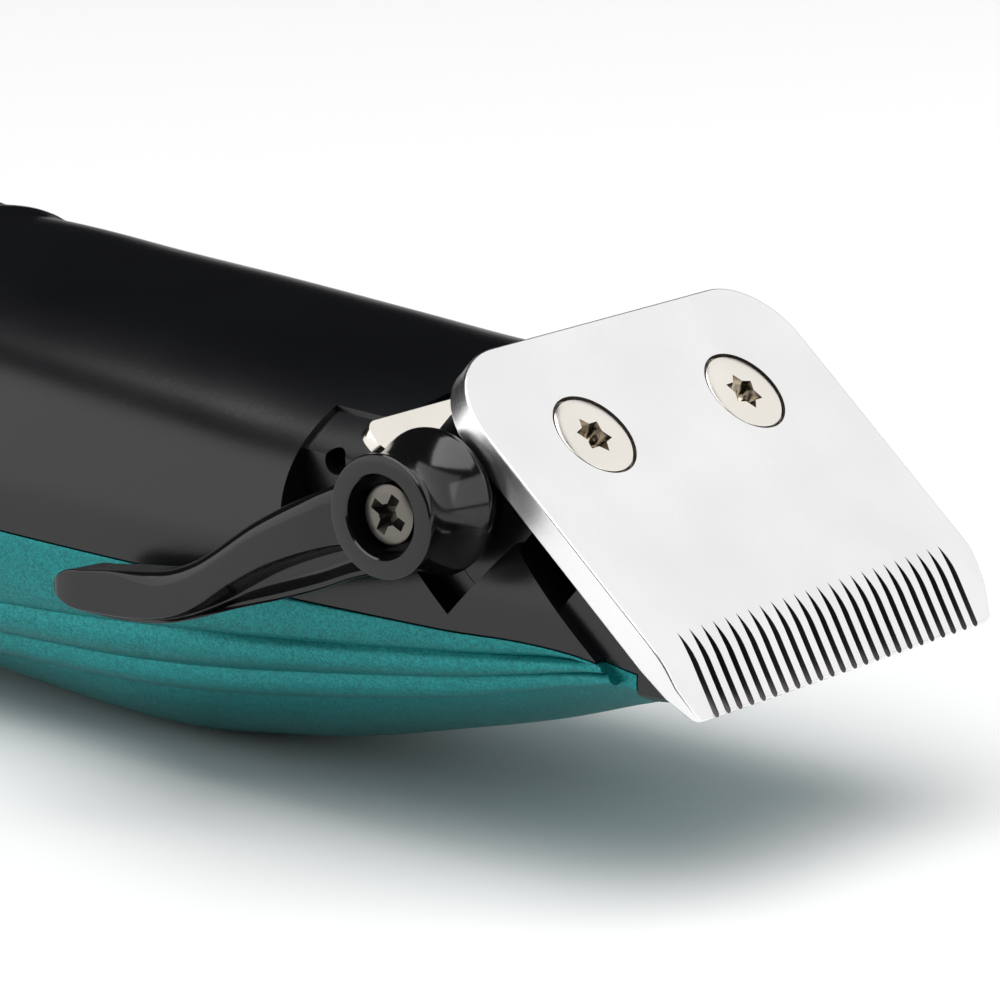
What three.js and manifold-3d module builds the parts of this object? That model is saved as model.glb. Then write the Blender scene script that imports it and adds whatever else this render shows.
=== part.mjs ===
// Mains pet clipper with a magnetic drive, a taper lever and a screwed-on comb blade.
// Millimetres, +Z up. The clipper lies on its coloured back with the underside facing up.
// Origin: the middle of the flat that the back rests on. +X runs to the blade, -Y is the lever side.
import * as THREE from 'three';
import { mergeVertices } from 'three/addons/utils/BufferGeometryUtils.js';
import Module from 'manifold-3d';

const wasm = await Module();
wasm.setup();

// ---------- driving dimensions ----------
const FAR = 60; // beyond every face of the body
const GAP = 0.3; // clearance between neighbouring pieces
const WALL = 2.2; // housing wall
const TAIL_X = -97; // rear end of the body
const TAIL_ROUND_X = -80; // where the tail starts to round off
const TAIL_Z = 21; // height of the tail's middle
const TAIL_FLAT = 0.42; // share of the section left at the very end
const SQUARENESS = 2.5; // superellipse power of the body section
const SQUARENESS_LOW = 2.2; // the coloured back is a little rounder
const HULL_FRONT_X = 80;
const BACK_FRONT_X = 71.5; // front end of the coloured back cover

// body lines seen from the side and from above: [x, value]
const CROWN = [[-80, 37], [-55, 39.7], [-32, 40.1], [-18, 40], [-7, 39.4], [6, 38.9], [20, 38.2],
  [31, 37.6], [50, 37.1], [80, 36.5]];
const BELLY = [[-80, 8.2], [-50, 4.3], [-25, 1.8], [-8, 0.3], [7, -0.6], [15, -0.4], [22, 0.7],
  [31, 2.4], [43, 5.7], [53, 8.7], [62, 11.3], [70, 14], [80, 16.4]];
const HALF_WIDTH = [[-80, 17], [-60, 19.2], [-42, 21.2], [-10, 23.3], [20, 23.6], [50, 23.3], [80, 22.6]];
const PARTING = [[-97, 21], [-60, 20.4], [-20, 19.8], [15, 19.6], [51.5, 20.2], [60, 20.7],
  [66, 20.6], [72, 19.8], [80, 19.6]];

// blade frame: x along the blade to the teeth, y across, z out of the blade's outer face
const BLADE_ORIGIN = new THREE.Vector3(58, 0, 36);
const BLADE_TILT = THREE.MathUtils.degToRad(39.7);
const BLADE_WIDTH = 46;
const BLADE_REAR = -10.7;
const BLADE_THICK = 2.5;
const BEVEL_START = 21.6;
const BEVEL_ANGLE = THREE.MathUtils.degToRad(19.6);
const BEVEL_LENGTH = 6.1;
const TOOTH_PITCH = 1.648;
const SLOT_COUNT = 24;
const SLOT_WIDTH = 0.75;
const SLOT_START = 20.2;
const SCREW_SPACING = 21.5;
const TAPER_TRAVEL = 1.5;

// taper lever, with its axis along Y
const LEVER_X = 51.2;
const LEVER_Z = 31.4;
const LEVER_SWING = THREE.MathUtils.degToRad(35);
const HUB_FACE_Y = -31.1;
const FLANGE_Y = -23.5;
const HUB_BASE_Y = -21.6;
const ECCENTRICITY = TAPER_TRAVEL / 2 / Math.sin(LEVER_SWING / 2);

// blade-frame layout of the nose
const BAY_FLOOR = -12;
const BAY_REAR = -13.2;
const BAY_FRONT = 4.9;
const BAY_HALF = 20.1; // half width of the room for the cutter
const CHEEK_OUT = 21.8; // outer face of the nose's side cheeks
const CHEEK_STEP = 11.8; // from here forward the cheeks rise to the blade
const DECK = -5.6;
const DECK_THICK = 3;
const NOSE_END = 24.2;
const BRACKET_TOP = -10.5;
const BRACKET_THICK = 1.2;
const SEAT_TOP = -3.1;
const PEG_S = 11;
const BOSS_RADIUS = 4;

// round pocket in the shell beside the lever hub
const POCKET_RADIUS = 18.4;
const POCKET_FLAT = -18.8;
const POCKET_END = -14.9;
const POCKET_STEP = 0.45;
const POCKET_LOW = -22.5;
const POCKET_FRONT = -8;
const POCKET_HOLE = { x: 36.3, z: 31.2, radius: 1.15, depth: 1.8 };

// screws that hold the two shells and the motor core: name, x, y
const HOUSING_SCREWS = [['rear_left', -66, -11.5], ['rear_right', -66, 11.5],
  ['front_left', 46.5, -15], ['front_right', 46.5, 15]];
const CORE_SCREWS = [['left', -33.5, -13.5], ['right', -33.5, 13.5]];
const REAR_SCREW_TOP = 32;
const FRONT_SCREW_TOP = 27.5;
const POST_RADIUS = 3.6;
const SCREW_TIP = 12.5;

// cord inlet in the tail
const INLET_RADIUS = 5.3;
const BUSH_BORE = 3.5;
const BUSH_FLANGE = 6.6;

// magnetic drive
const PIVOT_X = 24;
const SPRING_X = 36;
const ARM_Z = [14.5, 19];
const CORE_REAR = -38;
const CORE_HALF = 17;
const CORE_Z = [12, 28];
const BOBBIN = { rear: -28.4, front: -1.6, half: 12.8, low: 6.6, high: 33.4, flange: 1.2 };

// power switch on the far side
const SWITCH_X = 15;
const SWITCH_TRAVEL = 4;
const SWITCH_Z = 24.6;

const MATERIALS = {
  black_plastic: { color: 0x111214, roughness: 0.42, metalness: 0 },
  lever_plastic: { color: 0x17181a, roughness: 0.3, metalness: 0 },
  teal_paint: { color: 0x1f7f80, roughness: 0.35, metalness: 0.5 },
  blade_steel: { color: 0xe4e4e2, roughness: 0.22, metalness: 1 },
  nickel: { color: 0xe0d6c8, roughness: 0.2, metalness: 1 },
  dark_steel: { color: 0x55524e, roughness: 0.35, metalness: 1 },
  spring_steel: { color: 0x9a9c9e, roughness: 0.3, metalness: 1 },
  lamination: { color: 0x6d6f72, roughness: 0.5, metalness: 0.9 },
  copper: { color: 0x9c4f28, roughness: 0.4, metalness: 0.9 },
  brass: { color: 0xb4924e, roughness: 0.35, metalness: 1 },
  white_nylon: { color: 0xd9d7d0, roughness: 0.5, metalness: 0 },
  grey_nylon: { color: 0x4a4d50, roughness: 0.5, metalness: 0 },
  rubber: { color: 0x161616, roughness: 0.8, metalness: 0 },
  wire_brown: { color: 0x5a3218, roughness: 0.6, metalness: 0 },
  wire_blue: { color: 0x1d3f8a, roughness: 0.6, metalness: 0 },
};

// ---------- helpers ----------
const bladeMatrix = new THREE.Matrix4()
  .makeRotationY(BLADE_TILT)
  .setPosition(BLADE_ORIGIN);

// smooth curve through [x, value] points
function lineThrough(points) {
  const last = points.length - 1;
  const slope = points.map((point, i) => {
    const before = points[Math.max(i - 1, 0)];
    const after = points[Math.min(i + 1, last)];
    return (after[1] - before[1]) / (after[0] - before[0]);
  });
  return (x) => {
    const clamped = THREE.MathUtils.clamp(x, points[0][0], points[last][0]);
    let i = 0;
    while (i < last - 1 && clamped > points[i + 1][0]) i += 1;
    const span = points[i + 1][0] - points[i][0];
    const t = (clamped - points[i][0]) / span;
    const a = (1 + 2 * t) * (1 - t) ** 2 * points[i][1] + t * (1 - t) ** 2 * span * slope[i];
    const b = t * t * (3 - 2 * t) * points[i + 1][1] + t * t * (t - 1) * span * slope[i + 1];
    return a + b;
  };
}

// a closed geometry as a manifold solid, facing out
function solid(geometry, matrix = null) {
  const plain = geometry.clone();
  plain.deleteAttribute('normal');
  plain.deleteAttribute('uv');
  if (matrix) plain.applyMatrix4(matrix);
  const merged = mergeVertices(plain, 1e-5);
  const position = merged.getAttribute('position').array;
  const index = merged.getIndex().array;
  const triangles = [];
  let volume = 0;
  for (let i = 0; i < index.length; i += 3) {
    const [a, b, c] = [index[i], index[i + 1], index[i + 2]];
    if (a === b || b === c || a === c) continue;
    triangles.push(a, b, c);
    const va = new THREE.Vector3().fromArray(position, 3 * a);
    const vb = new THREE.Vector3().fromArray(position, 3 * b);
    const vc = new THREE.Vector3().fromArray(position, 3 * c);
    volume += va.dot(vb.cross(vc));
  }
  if (volume < 0) triangles.reverse();
  return new wasm.Manifold(new wasm.Mesh({
    numProp: 3,
    vertProperties: new Float32Array(position),
    triVerts: new Uint32Array(triangles),
  }));
}

function geometryOf(manifold) {
  const mesh = manifold.getMesh();
  const geometry = new THREE.BufferGeometry();
  geometry.setAttribute('position', new THREE.BufferAttribute(mesh.vertProperties, 3));
  geometry.setIndex(new THREE.BufferAttribute(mesh.triVerts, 1));
  geometry.computeVertexNormals();
  return geometry;
}

function joined(first, ...rest) {
  return rest.reduce((sum, piece) => sum.add(piece), first);
}

function cut(first, ...rest) {
  return rest.reduce((left, piece) => left.subtract(piece), first);
}

// box between two corners
function block(x0, x1, y0, y1, z0, z1, matrix = null) {
  const geometry = new THREE.BoxGeometry(x1 - x0, y1 - y0, z1 - z0);
  geometry.translate((x0 + x1) / 2, (y0 + y1) / 2, (z0 + z1) / 2);
  return solid(geometry, matrix);
}

// cylinder along an axis, from low to high, through the two other coordinates
function rod(axis, low, high, radius, centre, matrix = null, sides = 24, topRadius = radius) {
  const geometry = new THREE.CylinderGeometry(topRadius, radius, high - low, sides);
  geometry.translate(0, (low + high) / 2, 0);
  if (axis === 'x') {
    geometry.rotateZ(-Math.PI / 2);
    geometry.translate(0, centre[0], centre[1]);
  } else if (axis === 'y') {
    geometry.translate(centre[0], 0, centre[1]);
  } else {
    geometry.rotateX(Math.PI / 2);
    geometry.translate(centre[0], centre[1], 0);
  }
  return solid(geometry, matrix);
}

// outline of [a, b] points extruded upwards between two heights
function plate(points, z0, z1, matrix = null) {
  const shape = new THREE.Shape(points.map(([x, y]) => new THREE.Vector2(x, y)));
  const geometry = new THREE.ExtrudeGeometry(shape, { depth: z1 - z0, bevelEnabled: false });
  geometry.translate(0, 0, z0);
  return solid(geometry, matrix);
}

// outline of [x, z] points extruded across between two y values
function sideProfile(points, y0, y1, matrix = null) {
  const shape = new THREE.Shape(points.map(([x, z]) => new THREE.Vector2(x, z)));
  const geometry = new THREE.ExtrudeGeometry(shape, { depth: y1 - y0, bevelEnabled: false });
  geometry.rotateX(Math.PI / 2);
  geometry.translate(0, y1, 0);
  return solid(geometry, matrix);
}

// a round wire or tube along a smooth route
function wire(points, radius, steps, sides = 6) {
  const route = new THREE.CatmullRomCurve3(points.map((point) => new THREE.Vector3(...point)));
  const section = new THREE.Shape();
  for (let i = 0; i < sides; i += 1) {
    const angle = (2 * Math.PI * i) / sides;
    const [a, b] = [radius * Math.cos(angle), radius * Math.sin(angle)];
    if (i === 0) section.moveTo(a, b);
    else section.lineTo(a, b);
  }
  return new THREE.ExtrudeGeometry(section, { steps, extrudePath: route, bevelEnabled: false });
}

const bladeGroup = new THREE.Group();
bladeGroup.position.copy(BLADE_ORIGIN);
bladeGroup.rotation.y = BLADE_TILT;
const clipper = new THREE.Group();
clipper.name = 'pet_clipper';
clipper.add(bladeGroup);

function addPiece(name, material, shape, parent = clipper) {
  const geometry = shape.isBufferGeometry ? shape : geometryOf(shape);
  const mesh = new THREE.Mesh(geometry, new THREE.MeshStandardMaterial(MATERIALS[material]));
  mesh.name = name;
  parent.add(mesh);
}

// ---------- body outline ----------
const crownAt = lineThrough(CROWN);
const bellyAt = lineThrough(BELLY);
const halfWidthAt = lineThrough(HALF_WIDTH);
const partingAt = lineThrough(PARTING);

function tailShrink(x, inset) {
  if (x >= TAIL_ROUND_X) return 1;
  const end = TAIL_X + inset;
  const reach = (TAIL_ROUND_X - x) / (TAIL_ROUND_X - end);
  const round = Math.sqrt(Math.max(0, 1 - reach * reach));
  return TAIL_FLAT + (1 - TAIL_FLAT) * round;
}

// solid body, every wall moved in by inset
function hull(inset, sides, tailSteps, bodySteps) {
  const start = TAIL_X + inset;
  const stations = [];
  for (let i = 0; i < tailSteps; i += 1) {
    const angle = (Math.PI / 2) * (1 - i / tailSteps);
    stations.push(TAIL_ROUND_X - (TAIL_ROUND_X - start) * Math.sin(angle));
  }
  for (let i = 0; i <= bodySteps; i += 1) {
    stations.push(TAIL_ROUND_X + ((HULL_FRONT_X - TAIL_ROUND_X) * i) / bodySteps);
  }
  const rows = stations.length - 1;
  const geometry = new THREE.CylinderGeometry(1, 1, 1, sides, rows);
  const position = geometry.getAttribute('position');
  for (let i = 0; i < position.count; i += 1) {
    const row = Math.round((position.getY(i) + 0.5) * rows);
    const [c, s] = [position.getX(i), position.getZ(i)];
    const x = stations[row];
    const shrink = tailShrink(x, inset);
    const middle = THREE.MathUtils.lerp(TAIL_Z, partingAt(x), THREE.MathUtils.clamp(shrink, 0, 1));
    const side = (halfWidthAt(x) - inset) * shrink;
    const up = (crownAt(x) - inset - partingAt(x)) * shrink;
    const down = (partingAt(x) - bellyAt(x) - inset) * shrink;
    const power = 2 / (s > 0 ? SQUARENESS : SQUARENESS_LOW);
    const y = side * Math.sign(c) * Math.abs(c) ** power;
    const z = middle + (s > 0 ? up : Math.max(down, 0.5)) * Math.sign(s) * Math.abs(s) ** power;
    position.setXYZ(i, x, y, z);
  }
  return solid(geometry);
}

// everything above the parting line, shifted by a small amount
function abovePartingLine(shift) {
  const points = [];
  for (let x = TAIL_X - 5; x < BACK_FRONT_X; x += 6) points.push([x, partingAt(x) + shift]);
  points.push([BACK_FRONT_X + shift, partingAt(BACK_FRONT_X) + shift]);
  points.push([BACK_FRONT_X + shift, -10], [HULL_FRONT_X + 10, -10], [HULL_FRONT_X + 10, 60]);
  points.push([TAIL_X - 5, 60]);
  return sideProfile(points, -40, 40);
}

// ---------- housing: both shells are cut from one hull ----------
function screwTop(x) {
  return x < 0 ? REAR_SCREW_TOP : FRONT_SCREW_TOP;
}

function noseCuts() {
  return [
    block(BAY_REAR, BAY_FRONT, -40, 40, BAY_FLOOR, 40, bladeMatrix),
    block(BAY_FRONT - 1, 40, -BAY_HALF, BAY_HALF, DECK, 40, bladeMatrix),
    block(BAY_FRONT - 1, CHEEK_STEP, -40, 40, DECK, 40, bladeMatrix),
    block(BAY_FRONT - 1, 40, CHEEK_OUT, 40, DECK, 40, bladeMatrix),
    block(BAY_FRONT - 1, 40, -40, -CHEEK_OUT, DECK, 40, bladeMatrix),
    block(BAY_FRONT - 1, 40, -40, 40, -BLADE_THICK - GAP, 40, bladeMatrix),
    block(NOSE_END, 60, -40, 40, -40, 40, bladeMatrix),
  ];
}

// pocket beside the lever hub: a flat in its lower part, a shallow step towards the crown
function leverPocket(grow = 0) {
  const radius = POCKET_RADIUS + grow;
  const zone = block(-FAR, POCKET_FRONT, -FAR, 0, POCKET_LOW - grow, FAR, bladeMatrix);
  const disc = (end) => rod('y', -FAR, end + grow, radius, [LEVER_X, LEVER_Z], null, 48).intersect(zone);
  const step = disc(POCKET_END).subtract(hull(POCKET_STEP + grow, 32, 5, 15));
  return joined(disc(POCKET_FLAT), step);
}

function cavity() {
  const flangeWall = [BAY_REAR, BAY_FRONT + WALL, -30, -19, -16.8, BAY_FLOOR];
  return cut(
    hull(WALL, 20, 3, 10),
    block(BAY_REAR - WALL, BAY_FRONT + WALL, -40, 40, BAY_FLOOR - WALL, 60, bladeMatrix),
    block(BAY_FRONT, 60, -40, 40, DECK - DECK_THICK, 60, bladeMatrix),
    block(NOSE_END - WALL, 60, -40, 40, -40, 60, bladeMatrix),
    block(...flangeWall, bladeMatrix),
    leverPocket(WALL),
  );
}

// block under the blade that guides the bracket's bosses, with side cheeks for the lever shaft
function bladeSeat() {
  const cheek = (y0, y1) => block(-7.2, BAY_FRONT + 0.3, y0, y1, BAY_FLOOR - 1, SEAT_TOP, bladeMatrix);
  const seat = block(-7.2, BAY_FRONT + 0.3, -17, 17, BRACKET_TOP + GAP, SEAT_TOP, bladeMatrix);
  const camPocket = block(-6.6, 3.4, -17.6, -15.4, BAY_FLOOR + GAP, 0, bladeMatrix);
  return cut(joined(seat, cheek(-21, -17), cheek(17, 21)), camPocket);
}

// shallow pocket in the deck for the tension spring
function springBay() {
  return block(7.1, 19.6, -16, 16, DECK - 0.8, 0, bladeMatrix);
}

// room for the bracket's bosses over the whole taper travel
function bossSlots() {
  const radius = BOSS_RADIUS + 2 * GAP;
  return [-SCREW_SPACING / 2, SCREW_SPACING / 2].flatMap((w) => [
    rod('z', BAY_FLOOR, 0, radius, [0, w], bladeMatrix),
    rod('z', BAY_FLOOR, 0, radius, [TAPER_TRAVEL, w], bladeMatrix),
    block(0, TAPER_TRAVEL, w - radius, w + radius, BAY_FLOOR, 0, bladeMatrix),
  ]);
}

const bodySolid = cut(hull(0, 32, 5, 15), ...noseCuts(), block(-200, 200, -60, 60, -20, 0));
const bodyCavity = cavity();

function inletHole() {
  return rod('x', TAIL_X - 5, -70, INLET_RADIUS, [0, TAIL_Z], null, 28);
}

function undersideShell() {
  const posts = HOUSING_SCREWS.map(([, x, y]) => {
    const foot = partingAt(x) + GAP;
    return rod('z', foot, x < 0 ? 38 : 30.5, POST_RADIUS, [x, y]);
  });
  const outer = bodySolid.intersect(abovePartingLine(GAP / 2));
  const springRib = block(33.5, 38.5, -15, -11.8, 20.5, 37);
  const lining = joined(springRib, ...posts).intersect(bodySolid);
  const screwHoles = HOUSING_SCREWS.flatMap(([, x, y]) => [
    rod('z', 0, 60, 1.8, [x, y], null, 16),
    rod('z', screwTop(x) - 2.6, 60, 3.4, [x, y], null, 20),
  ]);
  const yokeWindow = block(7.1, 14.9, -6.4, 6.4, -12, 0, bladeMatrix);
  const flangeNotch = block(-10.5, BAY_FRONT, -30, -21.05, -14.6, 0, bladeMatrix);
  const shaftHole = rod('y', -40, -14, 2.7, [LEVER_X, LEVER_Z]);
  const switchHole = (over, y, half) => block(SWITCH_X - over, SWITCH_X + SWITCH_TRAVEL + over, y, FAR,
    SWITCH_Z - half, SWITCH_Z + half);
  const { x: holeX, z: holeZ, radius: holeRadius, depth } = POCKET_HOLE;
  const pocketHole = rod('y', -FAR, POCKET_FLAT + depth, holeRadius, [holeX, holeZ], null, 16);
  const powerHole = rod('y', 12, 40, 2, [SPRING_X, 24.5], null, 16);
  const powerHead = rod('y', 20.6, 40, 3.6, [SPRING_X, 24.5], null, 20);
  const shell = joined(cut(outer, bodyCavity), lining, bladeSeat());
  return cut(shell, ...bossSlots(), ...screwHoles, yokeWindow, springBay(), flangeNotch, shaftHole,
    leverPocket(), pocketHole, switchHole(2.6, 12, 1.5), switchHole(7.6, 22.2, 3), powerHole, powerHead,
    inletHole());
}

// clearance for the corners of the core and the bobbin
function motorRoom() {
  const top = 16;
  const core = block(CORE_REAR - GAP, 0, -CORE_HALF - GAP, CORE_HALF + GAP, CORE_Z[0] - GAP, top);
  const bobbin = block(BOBBIN.rear - GAP, 0, -BOBBIN.half - GAP, BOBBIN.half + GAP, BOBBIN.low - GAP, top);
  return [core, bobbin];
}

function backCover() {
  const posts = HOUSING_SCREWS.map(([, x, y]) => rod('z', 0.5, partingAt(x) - GAP, POST_RADIUS, [x, y]));
  const coreFeet = CORE_SCREWS.map(([, x, y]) => rod('z', 0.5, CORE_Z[0] - GAP, 3.4, [x, y]));
  const pivotFoot = rod('z', 0.5, 12, 4.5, [PIVOT_X, 0]);
  const outer = bodySolid.subtract(abovePartingLine(-GAP / 2));
  const lining = joined(pivotFoot, ...posts, ...coreFeet).intersect(bodySolid);
  const holes = HOUSING_SCREWS.map(([, x, y]) => rod('z', SCREW_TIP - 0.5, 60, 1.6, [x, y], null, 12));
  const coreHoles = CORE_SCREWS.map(([, x, y]) => rod('z', 7, 60, 1.6, [x, y], null, 12));
  const pivotHole = rod('z', 4.5, 60, 2.3, [PIVOT_X, 0], null, 20);
  return cut(joined(cut(outer, bodyCavity), lining), ...holes, ...coreHoles, pivotHole, inletHole(),
    springBay(), ...motorRoom());
}

// screw along -Z with a cross recess, its head's top at z
function downScrew(x, y, top, headRadius, headHeight, shankRadius, length) {
  const cross = joined(
    block(x - headRadius * 0.6, x + headRadius * 0.6, y - 0.35, y + 0.35, top - 1, top + 1),
    block(x - 0.35, x + 0.35, y - headRadius * 0.6, y + headRadius * 0.6, top - 1, top + 1),
  );
  const body = joined(
    rod('z', top - headHeight, top, headRadius, [x, y], null, 18),
    rod('z', top - length, top - headHeight + 0.1, shankRadius, [x, y], null, 12),
  );
  return body.subtract(cross);
}

function addHousing() {
  addPiece('underside_shell', 'black_plastic', undersideShell());
  addPiece('back_cover', 'teal_paint', backCover());
  HOUSING_SCREWS.forEach(([place, x, y]) => {
    const top = screwTop(x);
    addPiece(`housing_screw_${place}`, 'dark_steel', downScrew(x, y, top, 2.9, 2, 1.3, top - SCREW_TIP));
  });
}

// rubber bush in the tail, with a collar inside the wall
function addCordInlet() {
  const wallInside = TAIL_X + 5.2;
  const bushEnd = -89;
  const neck = rod('x', TAIL_X - 3, bushEnd + 1, INLET_RADIUS - GAP, [0, TAIL_Z], null, 28);
  const flange = rod('x', TAIL_X - 3, TAIL_X - GAP, BUSH_FLANGE, [0, TAIL_Z], null, 28);
  const roomInside = hull(WALL + 2 * GAP, 20, 3, 10);
  const collar = rod('x', wallInside, bushEnd, INLET_RADIUS + 2 * GAP, [0, TAIL_Z], null, 28)
    .intersect(roomInside);
  const bore = rod('x', TAIL_X - 5, -80, BUSH_BORE, [0, TAIL_Z], null, 24);
  addPiece('cord_inlet_bush', 'rubber', cut(joined(neck, flange, collar), bore));
}

// ---------- blade set ----------
function roundedOutline(s0, s1, half, radius, steps = 6) {
  const points = [[s1, -half], [s1, half]];
  [[s0 + radius, half - radius, 0.5], [s0 + radius, radius - half, 1]].forEach(([s, w, turn]) => {
    for (let i = 0; i <= steps; i += 1) {
      const angle = Math.PI * turn + ((Math.PI / 2) * i) / steps;
      points.push([s + radius * Math.cos(angle), w + radius * Math.sin(angle)]);
    }
  });
  return points;
}

function bevelCutter() {
  const far = 20;
  const tip = [BEVEL_START + far * Math.cos(BEVEL_ANGLE), -far * Math.sin(BEVEL_ANGLE)];
  return sideProfile([[BEVEL_START, 0], tip, [50, 5], [BEVEL_START, 5]], -40, 40);
}

function toothSlots(count, pitch, width, from, to) {
  const slots = [];
  for (let i = 0; i < count; i += 1) {
    const w = (i - (count - 1) / 2) * pitch;
    slots.push(block(from, to, w - width / 2, w + width / 2, -10, 5));
  }
  return slots;
}

function fixedBlade() {
  const tipS = BEVEL_START + BEVEL_LENGTH * Math.cos(BEVEL_ANGLE);
  const body = plate(roundedOutline(BLADE_REAR, tipS, BLADE_WIDTH / 2, 7.5), -BLADE_THICK, 0);
  const corners = [-1, 1].map((side) => plate([
    [tipS - 5, side * 23.2], [tipS + 1, side * 23.2], [tipS + 1, side * 21.2], [tipS - 0.4, side * 21.2],
    [tipS - 1.4, side * 22.2]], -10, 5));
  const countersinks = [-1, 1].flatMap((side) => [
    rod('z', -1.6, 0.5, 2.7, [0, (side * SCREW_SPACING) / 2], null, 28, 4.75),
    rod('z', -5, 0.5, 2.2, [0, (side * SCREW_SPACING) / 2], null, 20),
  ]);
  return cut(body, bevelCutter(), ...corners, ...countersinks,
    ...toothSlots(SLOT_COUNT, TOOTH_PITCH, SLOT_WIDTH, SLOT_START, 40));
}

function bladeBracket() {
  const half = SCREW_SPACING / 2;
  const low = BRACKET_TOP - BRACKET_THICK;
  const crossbar = plate(roundedOutline(-12.7, -9.2, 21.6, 1.6, 4), low, BRACKET_TOP);
  const web = block(-10, 3.2, -15, 15, low, BRACKET_TOP);
  const bosses = [-half, half].map((w) => rod('z', low, -BLADE_THICK - GAP, BOSS_RADIUS, [0, w]));
  const pin = leverShaftPlace(0);
  const forkWall = (s0, s1) => block(s0, s1, -16.9, -15.7, low, -4.4);
  const fork = [forkWall(pin.s - 3.1, pin.s - 1.8), forkWall(pin.s + 1.8, pin.s + 3.1)];
  const forkFoot = block(pin.s - 3.1, pin.s + 3.1, -16.9, -14.5, low, BRACKET_TOP);
  const holes = [-half, half].map((w) => rod('z', -20, 0, 1.9, [0, w], null, 18));
  return cut(joined(crossbar, web, forkFoot, ...bosses, ...fork), ...holes);
}

// where the cam pin's centre lies in the blade frame, with the lever turned by an angle from rest
function leverShaftPlace(turn) {
  const dx = LEVER_X - BLADE_ORIGIN.x;
  const dz = LEVER_Z - BLADE_ORIGIN.z;
  const axisS = dx * Math.cos(BLADE_TILT) - dz * Math.sin(BLADE_TILT);
  const axisN = dx * Math.sin(BLADE_TILT) + dz * Math.cos(BLADE_TILT);
  const angle = turn - LEVER_SWING / 2;
  return {
    s: axisS + ECCENTRICITY * Math.sin(angle),
    n: axisN + ECCENTRICITY * Math.cos(angle),
  };
}

function bladeScrew(side) {
  const w = (side * SCREW_SPACING) / 2;
  const head = rod('z', -1.55, -0.12, 2.05, [0, w], null, 28, 3.95);
  const shank = rod('z', -11.5, -1.5, 1.55, [0, w], null, 16);
  const recess = [0, 1, 2].map((i) => {
    const bar = new THREE.BoxGeometry(3.4, 0.9, 2);
    bar.rotateZ((i * Math.PI) / 3);
    bar.translate(0, w, 0);
    return solid(bar);
  });
  return cut(joined(head, shank), ...recess);
}

function addBladeSet() {
  addPiece('fixed_blade', 'blade_steel', fixedBlade(), bladeGroup);
  addPiece('blade_bracket', 'nickel', bladeBracket(), bladeGroup);
  addPiece('blade_screw_left', 'nickel', bladeScrew(-1), bladeGroup);
  addPiece('blade_screw_right', 'nickel', bladeScrew(1), bladeGroup);
}

// ---------- moving cutter ----------
const CUTTER_TOP = -BLADE_THICK - GAP;
const CUTTER_LOW = CUTTER_TOP - 1.6;

function addCutter() {
  const body = plate([[6.8, -12], [6.8, 12], [11, 18.5], [25.6, 18.5], [25.6, -18.5], [11, -18.5]],
    CUTTER_LOW, CUTTER_TOP);
  const slots = toothSlots(17, 2.06, 0.95, 21, 40);
  addPiece('cutter_blade', 'blade_steel', cut(body, ...slots), bladeGroup);
  const yoke = block(7.6, 14.4, -4.6, 4.6, -8, CUTTER_LOW - GAP);
  const pegSlot = block(PEG_S - 2.3, PEG_S + 2.3, -2.15, 2.15, -10, -4.9);
  addPiece('cutter_yoke', 'white_nylon', cut(yoke, pegSlot), bladeGroup);
}

function addTensionSpring() {
  const n = -5.25;
  const half = [[8.2, 13.4, n], [12, 12.6, n], [15.6, 10.6, n], [17.8, 6.5, n]];
  const mirrored = half.map(([s, w, z]) => [s, -w, z]);
  const route = [...half, [18.4, 0, n], ...mirrored.reverse()];
  addPiece('tension_spring', 'spring_steel', wire(route, 0.4, 36), bladeGroup);
}

// ---------- taper lever ----------
function leverArm() {
  const outline = [[0, 4.6], [-3.5, 3.6], [-9.5, -2.1], [-16, -5.9], [-21, -7.7], [-25.5, -8.5],
    [-31, -9.6], [-34.4, -11.2], [-36.4, -13.2], [-35.6, -15], [-30, -15], [-24, -13.9],
    [-17, -11.7], [-9.5, -8.3], [-4, -6.4], [0, -4.8]];
  return sideProfile(outline.map(([x, z]) => [LEVER_X + x, LEVER_Z + z]), -31.6, -26.4);
}

function taperLever() {
  const hub = joined(
    rod('y', -27, FLANGE_Y, 6.2, [LEVER_X, LEVER_Z], null, 32),
    rod('y', -24, HUB_BASE_Y, 4.9, [LEVER_X, LEVER_Z], null, 32),
    rod('y', HUB_FACE_Y, -26.9, 5.2, [LEVER_X, LEVER_Z], null, 32, 5.7),
  );
  return cut(
    joined(hub, leverArm()),
    rod('y', -40, -27.4, 3.65, [LEVER_X, LEVER_Z], null, 28),
    rod('y', -28, -20, 1.5, [LEVER_X, LEVER_Z], null, 16),
    rod('y', -25, -20, 2.5, [LEVER_X, LEVER_Z], null, 24),
  );
}

function leverScrew() {
  const face = -29.6;
  const head = rod('y', face, -27.7, 2.65, [LEVER_X, LEVER_Z], null, 24);
  const shank = rod('y', -27.8, -18.5, 1.2, [LEVER_X, LEVER_Z], null, 12);
  const recess = [0, 1].map((i) => {
    const bar = new THREE.BoxGeometry(3.4, 1.8, 0.8);
    bar.rotateY(0.6 + (i * Math.PI) / 2);
    bar.translate(LEVER_X, face, LEVER_Z);
    return solid(bar);
  });
  return cut(joined(head, shank), ...recess);
}

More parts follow.
